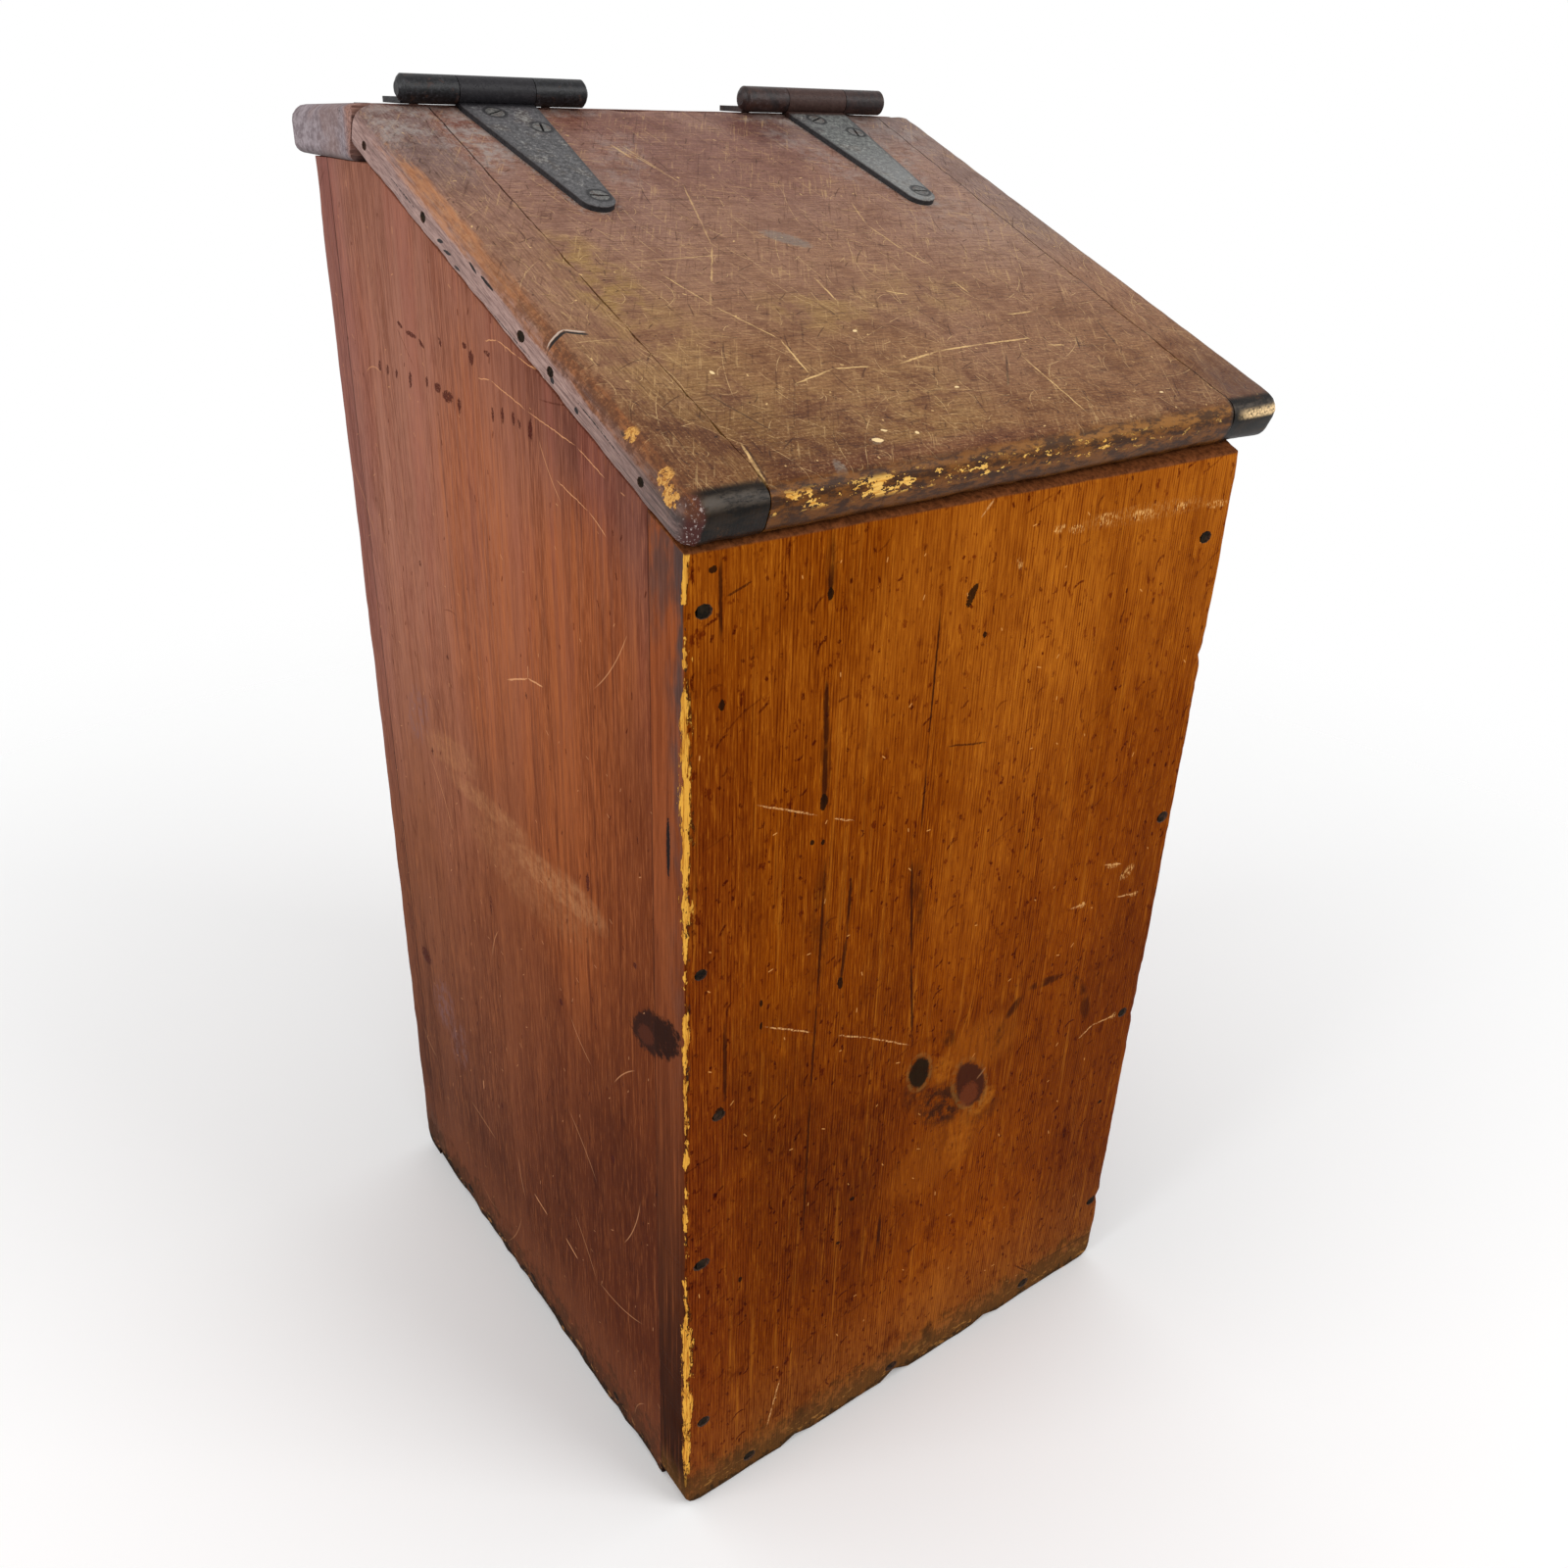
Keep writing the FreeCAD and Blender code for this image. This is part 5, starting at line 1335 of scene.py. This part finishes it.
def sink_nails(piece, nodes, sizes, share=1.0):
    """Open a ragged hole over each nail head that the board holds."""
    radius = sizes.hole_radius * share
    punches = []
    low = Vector([min(v.co[i] for v in piece.data.vertices) for i in range(3)])
    high = Vector([max(v.co[i] for v in piece.data.vertices) for i in range(3)])
    for node in nodes:
        for index, (point, outward) in enumerate(nail_heads(node)):
            if not all(low[i] - 2 * MM < point[i] < high[i] + 2 * MM for i in range(3)):
                continue
            bpy.ops.object.select_all(action="DESELECT")
            bpy.ops.mesh.primitive_cone_add(
                vertices=9,
                radius1=radius * (0.80 + 0.07 * (index % 3)),
                radius2=radius * (1.08 + 0.10 * (index % 4)),
                depth=2 * sizes.hole_depth,
                location=point,
                rotation=outward.to_track_quat("Z", "Y").to_euler(),
            )
            punch = bpy.context.object
            punch.scale = (1 + 0.12 * (index % 3), 0.86, 1)
            punches.append(punch)
    if not punches:
        return
    for punch in punches:
        punch.select_set(True)
    bpy.context.view_layer.objects.active = punches[0]
    bpy.ops.object.join()
    tool = bpy.context.object
    bpy.ops.object.transform_apply(location=True, rotation=True, scale=True)
    tool.data.materials.append(saved("nail_hole_rust", hole_material))
    only(piece)
    modifier = piece.modifiers.new("holes", "BOOLEAN")
    modifier.operation = "DIFFERENCE"
    modifier.solver = "EXACT"
    modifier.material_mode = "TRANSFER"
    modifier.object = tool
    bpy.ops.object.modifier_apply(modifier="holes")
    bpy.data.objects.remove(tool)


def settle(piece, node, body, angle=40):
    """Smooth a finished board, let it ride on its body and stand for its CAD node."""
    only(piece)
    bpy.ops.object.shade_smooth_by_angle(angle=math.radians(angle))
    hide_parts(node)
    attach(piece, body)


def steps(low, high, gap):
    """Evenly spaced places between two values."""
    count = max(1, round((high - low) / gap))
    return [low + (high - low) * index / count for index in range(1, count)]


def bands(low, high, edges, inset, gap):
    """Places across a board, in millimetres from both its ends, with even steps between."""
    near = [low + n * MM for n in edges]
    far = [high - n * MM for n in reversed(edges)]
    return near + steps(low + inset * MM, high - inset * MM, gap * MM) + far


def saved(name, maker, *arguments):
    """The material of that name, made once."""
    return bpy.data.materials.get(name) or maker(*arguments)


# ---- one operator per piece or group ------------------------------------------------


class BIN_OT_front_board(bpy.types.Operator):
    """Model the front board, with its chipped near edge, worn feet and nail holes"""

    bl_idname = "bin.front_board"
    bl_label = "Front board"

    def execute(self, context):
        settings = context.scene.grain_bin
        low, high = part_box("front_board")
        piece = start_board("front_board_wood", low, high)
        saw(piece, LID_ORIGIN, ABOVE_LID)
        sides = sides_of(piece)
        ease(piece, 9 * MM, 4, runs_along("Y"), lies_at("Z", FLOOR))
        ease(piece, settings.shape.arris, 3, lies_at("Y", FRONT))
        add_lines(piece, "X", bands(LEFT, RIGHT, (2.5, 4.5, 7, 10, 14, 20), 20, 10))
        add_lines(piece, "Y", [FRONT + n * MM for n in (2.5, 5, 10, 16)])
        add_lines(piece, "Z", steps(0, FRONT_TOP + 9 * MM, 3 * MM))

        def outside(place):
            return 0 if place.y > INNER_FRONT - 4 * MM and place.z > 8 * MM else 1

        wear_edges(piece, sides, 3.4 * MM, settings.shape.wear_depth, 16 * MM, outside)
        dents = (
            (LEFT, 366, 5, (1.0, 0.8, 0)), (LEFT, 140, 9, (0.8, 0.6, 0)), (LEFT, 60, 12, (0.9, 0.5, 0)),
            (RIGHT, 402, 5, (-1.4, 0.4, 0)), (RIGHT, 186, 6, (-1.2, 0.4, 0)), (RIGHT, 47, 6, (-1.4, 0.4, 0)),
            (-11.5 * MM, 0, 6, (0, 1.6, 3.0)), (-76 * MM, 0, 8, (0, 0.8, 1.4)),
            (60 * MM, 0, 7, (0, 0.8, 1.4)), (-11 * MM, 461, 6, (0, 0.9, 0)),
        )
        press(piece, [((x, FRONT, z * MM), reach, push) for x, z, reach, push in dents])
        piece.data.materials.append(front_pine(settings.wood))
        sink_nails(piece, ("front_board_nails", "bottom_board_nails"), settings.shape)
        settle(piece, "front_board", "chest")
        return {"FINISHED"}


class BIN_OT_side_boards(bpy.types.Operator):
    """Model the two slant-topped side boards"""

    bl_idname = "bin.side_boards"
    bl_label = "Side boards"

    def execute(self, context):
        settings = context.scene.grain_bin
        material = saved("stained_wall_pine", wall_pine, settings.wood)
        for node in ("left_side_board", "right_side_board"):
            low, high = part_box(node)
            outer = low.x if node.startswith("left") else high.x
            piece = start_board(node + "_wood", low, high)
            saw(piece, LID_ORIGIN, ABOVE_LID)
            sides = sides_of(piece)
            ease(piece, 1 * MM, 3, lies_at("Z", FLOOR), lies_at("X", outer))
            upper = FRONT_TOP - 10 * MM
            ease(piece, 0.5 * MM, 2, lies_at("X", outer), lambda e: all(v.co.z > upper for v in e.verts))
            add_lines(piece, "Y", [low.y + n * MM for n in (3, 7)])
            add_lines(piece, "Y", steps(low.y + 10 * MM, high.y - 10 * MM, 9 * MM))
            add_lines(piece, "X", [low.x + n * MM for n in (3, 8, 14, 19)])
            add_lines(piece, "Z", [n * MM for n in (2.5, 5, 8, 12, 17)])
            add_lines(piece, "Z", steps(20 * MM, WALL_TOP, 8 * MM))
            wear_edges(piece, sides, 5 * MM, 2.2 * MM, 12 * MM, lambda place: int(place.z < 8 * MM))
            piece.data.materials.append(material)
            sink_nails(piece, ("bottom_board_nails",), settings.shape)
            settle(piece, node, "chest")
        return {"FINISHED"}


class BIN_OT_back_board(bpy.types.Operator):
    """Model the back board, with its worn heel"""

    bl_idname = "bin.back_board"
    bl_label = "Back board"

    def execute(self, context):
        settings = context.scene.grain_bin
        low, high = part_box("back_board")
        piece = start_board("back_board_wood", low, high)
        sides = sides_of(piece)
        ease(piece, 14 * MM, 5, lies_at("Z", FLOOR), lies_at("Y", BACK))
        ease(piece, settings.shape.arris, 3, runs_along("Z"), lies_at("Y", BACK))
        add_lines(piece, "X", bands(LEFT, RIGHT, (2.5, 5, 9), 12, 10))
        add_lines(piece, "Y", [high.y - n * MM for n in (3, 8, 13)])
        add_lines(piece, "Z", steps(0, WALL_TOP, 5 * MM))

        def outside(place):
            return 0 if place.y < INNER_BACK + 4 * MM and place.z > 14 * MM else 1

        wear_edges(piece, sides, 3.5 * MM, settings.shape.wear_depth * 0.7, 24 * MM, outside)
        piece.data.materials.append(saved("stained_wall_pine", wall_pine, settings.wood))
        sink_nails(piece, ("back_board_nails", "bottom_board_nails"), settings.shape)
        settle(piece, "back_board", "chest")
        return {"FINISHED"}


class BIN_OT_bottom_board(bpy.types.Operator):
    """Model the bottom board, bare, with slightly worn edges"""

    bl_idname = "bin.bottom_board"
    bl_label = "Bottom board"

    def execute(self, context):
        settings = context.scene.grain_bin
        low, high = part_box("bottom_board")
        piece = start_board("bottom_board_wood", low, high)
        sides = sides_of(piece)
        ease(piece, 0.5 * MM, 2, lies_at("Z", high.z))
        add_rows(piece, "X", 40)
        add_rows(piece, "Y", 44)
        wear_edges(piece, sides, 4 * MM, 0.4 * MM, 14 * MM)
        piece.data.materials.append(bottom_pine(settings.wood))
        settle(piece, "bottom_board", "chest")
        return {"FINISHED"}


class BIN_OT_top_rail(bpy.types.Operator):
    """Model the weathered rail that carries the hinges"""

    bl_idname = "bin.top_rail"
    bl_label = "Top rail"

    def execute(self, context):
        settings = context.scene.grain_bin
        low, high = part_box("top_rail")
        piece = start_board("top_rail_wood", low, high)
        up_slope = LID_BACK + 1.8 * MM
        down_slope = (0, -math.cos(LID_SLOPE), -math.sin(LID_SLOPE))
        saw(piece, LID_FRAME @ Vector((0, up_slope, 0)), down_slope)
        fall_start = low.y + 21.9 * MM
        saw(piece, (0, fall_start, high.z), (0, 3 * MM, high.y - fall_start))
        sides = sides_of(piece)
        ease(piece, 9 * MM, 5, runs_along("Z"), lies_at("Y", high.y))

        def rim(upper):
            def test(edge):
                face_up = [face.normal.z for face in edge.link_faces]
                flat = max(face_up) > 0.9 if upper else min(face_up) < -0.9
                side = any(abs(value) < 0.5 for value in face_up)
                away = all(v.co.y > fall_start - 40 * MM for v in edge.verts)
                front = all(v.co.y < low.y + 10 * MM for v in edge.verts)
                return flat and side and away and not (front and runs_along("X")(edge))

            return test

        ease(piece, 7 * MM, 4, rim(True))
        ease(piece, 3.5 * MM, 3, rim(False))
        add_lines(piece, "X", bands(low.x, high.x, (3, 5, 8, 12, 16, 20), 20, 7))
        add_lines(piece, "Y", steps(low.y + 6 * MM, high.y - 3 * MM, 6 * MM))
        add_lines(piece, "Z", steps(low.z, high.z, 4 * MM))
        wear_edges(piece, sides, 5 * MM, 0.9 * MM, 14 * MM)
        piece.data.materials.append(rail_pine(settings.wood))
        sink_nails(piece, ("rail_nails",), settings.shape)
        settle(piece, "top_rail", "chest")
        return {"FINISHED"}


class BIN_OT_lid(bpy.types.Operator):
    """Model the lid as one rounded board and saw it into a panel and two battens"""

    bl_idname = "bin.lid"
    bl_label = "Lid"

    def execute(self, context):
        settings = context.scene.grain_bin
        near = (LID_LEFT, LID_FRONT_LEFT, LID_UNDER)
        blank = start_board("lid_blank", near, (LID_RIGHT_BACK, LID_BACK, LID_TOP))
        shape(blank)
        pick(blank, "VERT", lambda v: v.co.x > 0 and v.co.y < 0.1)
        skew = (LID_RIGHT_FRONT - LID_RIGHT_BACK, LID_FRONT_RIGHT - LID_FRONT_LEFT, 0)
        bpy.ops.transform.translate(value=skew)
        done()
        blank_sides = sides_of(blank)
        ease(blank, 8.5 * MM, 5, runs_along("Z"), lambda e: all(v.co.y < 0.1 for v in e.verts))
        for height, radius in ((LID_TOP, 8 * MM), (LID_UNDER, 6 * MM)):
            ease(blank, radius, 5, lies_at("Z", height), lambda e: not lies_at("Y", LID_BACK)(e))
        half = SEAM_GAP / 2
        pieces = (
            ("lid_panel", LEFT_SEAM + half, RIGHT_SEAM - half, 10 * MM),
            ("left_lid_batten", None, LEFT_SEAM - half, 5 * MM),
            ("right_lid_batten", RIGHT_SEAM + half, None, 5 * MM),
        )
        for node, low_x, high_x, spacing in pieces:
            only(blank)
            bpy.ops.object.duplicate()
            piece = bpy.context.object
            piece.name = node + "_wood"
            piece.data.name = piece.name
            sides = list(blank_sides)
            for cut, outward in ((low_x, -1), (high_x, 1)):
                if cut is not None:
                    saw(piece, (cut, 0, 0), (outward, 0, 0))
                    sides.append((Vector((cut, 0, 0)), Vector((outward, 0, 0))))
            start = low_x if low_x is not None else LID_LEFT + 9 * MM
            stop = high_x if high_x is not None else LID_RIGHT_BACK - 9 * MM
            add_lines(piece, "X", [start + 2 * MM, stop - 2 * MM])
            add_lines(piece, "X", steps(start + 2 * MM, stop - 2 * MM, spacing / 1.6))
            add_lines(piece, "Y", steps(10 * MM, LID_BACK, 4 * MM))
            wear_edges(piece, sides, 9 * MM, settings.shape.wear_depth, 10 * MM)
            piece.matrix_world = LID_FRAME
            only(piece)
            bpy.ops.object.transform_apply(location=True, rotation=True, scale=True)
            is_batten = node != "lid_panel"
            name = "worn_lid_batten_pine" if is_batten else "worn_lid_panel_pine"
            piece.data.materials.append(saved(name, lid_pine, settings.wood, name, is_batten))
            if is_batten:
                sink_nails(piece, (node.replace("lid_batten", "batten_nails"),), settings.shape, 0.72)
            settle(piece, node, "lid")
        bpy.data.objects.remove(blank)
        return {"FINISHED"}


class BIN_OT_hinges(bpy.types.Operator):
    """Finish the hinges: blackened knuckles and pins, worn grey straps"""

    bl_idname = "bin.hinges"
    bl_label = "Hinges"

    def execute(self, context):
        colours = context.scene.grain_bin.iron
        black = barrel_iron(colours)
        strap = strap_iron(colours)
        for side in ("left", "right"):
            for part, material in (("rail_leaf", black), ("pin", black), ("strap", strap)):
                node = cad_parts[f"{side}_hinge_{part}"]
                node.data.materials.clear()
                node.data.materials.append(material)
        return {"FINISHED"}


class BIN_OT_fasteners(bpy.types.Operator):
    """Finish the screws and the nails"""

    bl_idname = "bin.fasteners"
    bl_label = "Screws and nails"

    def execute(self, context):
        colours = context.scene.grain_bin.iron
        screw = screw_iron(colours)
        nail = nail_iron(colours)
        for name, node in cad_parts.items():
            if "screws" in name or "nails" in name:
                node.data.materials.clear()
                node.data.materials.append(screw if "screws" in name else nail)
        return {"FINISHED"}


class BIN_OT_stage(bpy.types.Operator):
    """Set the pale floor, the soft lamps and the camera"""

    bl_idname = "bin.stage"
    bl_label = "Stage"

    def execute(self, context):
        scene = context.scene
        settings = scene.grain_bin.stage
        bpy.ops.object.select_all(action="DESELECT")
        bpy.ops.mesh.primitive_plane_add(size=60, location=(0, 0, -0.2 * MM))
        floor = context.object
        floor.name = "floor"
        g = Graph("pale_floor")
        far = g.node("ShaderNodeVectorMath", {"operation": "LENGTH"}, {0: g.object_place}, "Value")
        g.tree.links.new(far.ramp(1.25, 0.45).socket, g.shader.inputs["Alpha"])
        g.shader.inputs["Base Color"].default_value = (*settings.floor, 1)
        g.shader.inputs["Roughness"].default_value = 0.9
        g.shader.inputs["Specular IOR Level"].default_value = 0.1
        floor.data.materials.append(g.material)

        world = bpy.data.worlds.new("soft_sky")
        world.use_nodes = True
        scene.world = world
        tree = world.node_tree
        even = tree.nodes["Background"]
        even.inputs[0].default_value = (1, 1, 1, 1)
        even.inputs[1].default_value = settings.sky
        seen = tree.nodes.new("ShaderNodeBackground")
        seen.inputs[0].default_value = (1, 1, 1, 1)
        seen.inputs[1].default_value = 1
        path = tree.nodes.new("ShaderNodeLightPath")
        either = tree.nodes.new("ShaderNodeMixShader")
        tree.links.new(path.outputs["Is Camera Ray"], either.inputs[0])
        tree.links.new(even.outputs[0], either.inputs[1])
        tree.links.new(seen.outputs[0], either.inputs[2])
        tree.links.new(either.outputs[0], tree.nodes["World Output"].inputs[0])

        lamps = (
            ("key", (1.3, -2.3, 2.0), 1.6, settings.key),
            ("top", (-0.2, 0.6, 2.9), 1.8, settings.key * 0.12),
            ("side", (-2.6, 0.1, 1.7), 1.6, settings.key * 0.85),
        )
        aim = Vector((0, 0, 0.33))
        for name, place, size, power in lamps:
            light = bpy.data.lights.new(name, "AREA")
            light.energy = power
            light.size = size
            lamp = bpy.data.objects.new(name, light)
            lamp.location = place
            lamp.rotation_euler = (aim - Vector(place)).to_track_quat("-Z", "Y").to_euler()
            scene.collection.objects.link(lamp)

        camera = bpy.data.cameras.new("camera")
        camera.sensor_width = 36
        camera.lens = settings.lens
        camera.clip_start = 0.01
        eye = bpy.data.objects.new("camera", camera)
        eye.location = CAMERA_PLACE
        eye.rotation_euler = (
            Matrix.Rotation(settings.azimuth, 3, "Z")
            @ Matrix.Rotation(math.pi / 2 - settings.elevation, 3, "X")
            @ Matrix.Rotation(settings.roll, 3, "Z")
        ).to_euler()
        scene.collection.objects.link(eye)
        scene.camera = eye
        scene.view_settings.view_transform = "Standard"
        return {"FINISHED"}


class BIN_PT_panel(bpy.types.Panel):
    """Lists the grain bin's pieces and settings"""

    bl_label = "Grain bin"
    bl_space_type = "VIEW_3D"
    bl_region_type = "UI"
    bl_category = "Grain bin"

    def draw(self, context):
        layout = self.layout
        for operator in OPERATORS:
            layout.operator(operator.bl_idname)
        settings = context.scene.grain_bin
        for group in (settings.wood, settings.iron, settings.shape, settings.stage):
            box = layout.box()
            box.label(text=type(group).__name__.replace("Settings", ""))
            for name in group.__annotations__:
                box.prop(group, name)


OPERATORS = (
    BIN_OT_front_board,
    BIN_OT_side_boards,
    BIN_OT_back_board,
    BIN_OT_bottom_board,
    BIN_OT_top_rail,
    BIN_OT_lid,
    BIN_OT_hinges,
    BIN_OT_fasteners,
    BIN_OT_stage,
)
CLASSES = (
    WoodSettings,
    IronSettings,
    ShapeSettings,
    StageSettings,
    BinSettings,
    *OPERATORS,
    BIN_PT_panel,
)


def register():
    for cls in CLASSES:
        bpy.utils.register_class(cls)
    bpy.types.Scene.grain_bin = PointerProperty(type=BinSettings)


def unregister():
    del bpy.types.Scene.grain_bin
    for cls in reversed(CLASSES):
        bpy.utils.unregister_class(cls)


def main():
    register()
    bpy.ops.bin.front_board()
    bpy.ops.bin.side_boards()
    bpy.ops.bin.back_board()
    bpy.ops.bin.bottom_board()
    bpy.ops.bin.top_rail()
    bpy.ops.bin.lid()
    bpy.ops.bin.hinges()
    bpy.ops.bin.fasteners()
    bpy.ops.bin.stage()


if __name__ == "__main__":
    main()
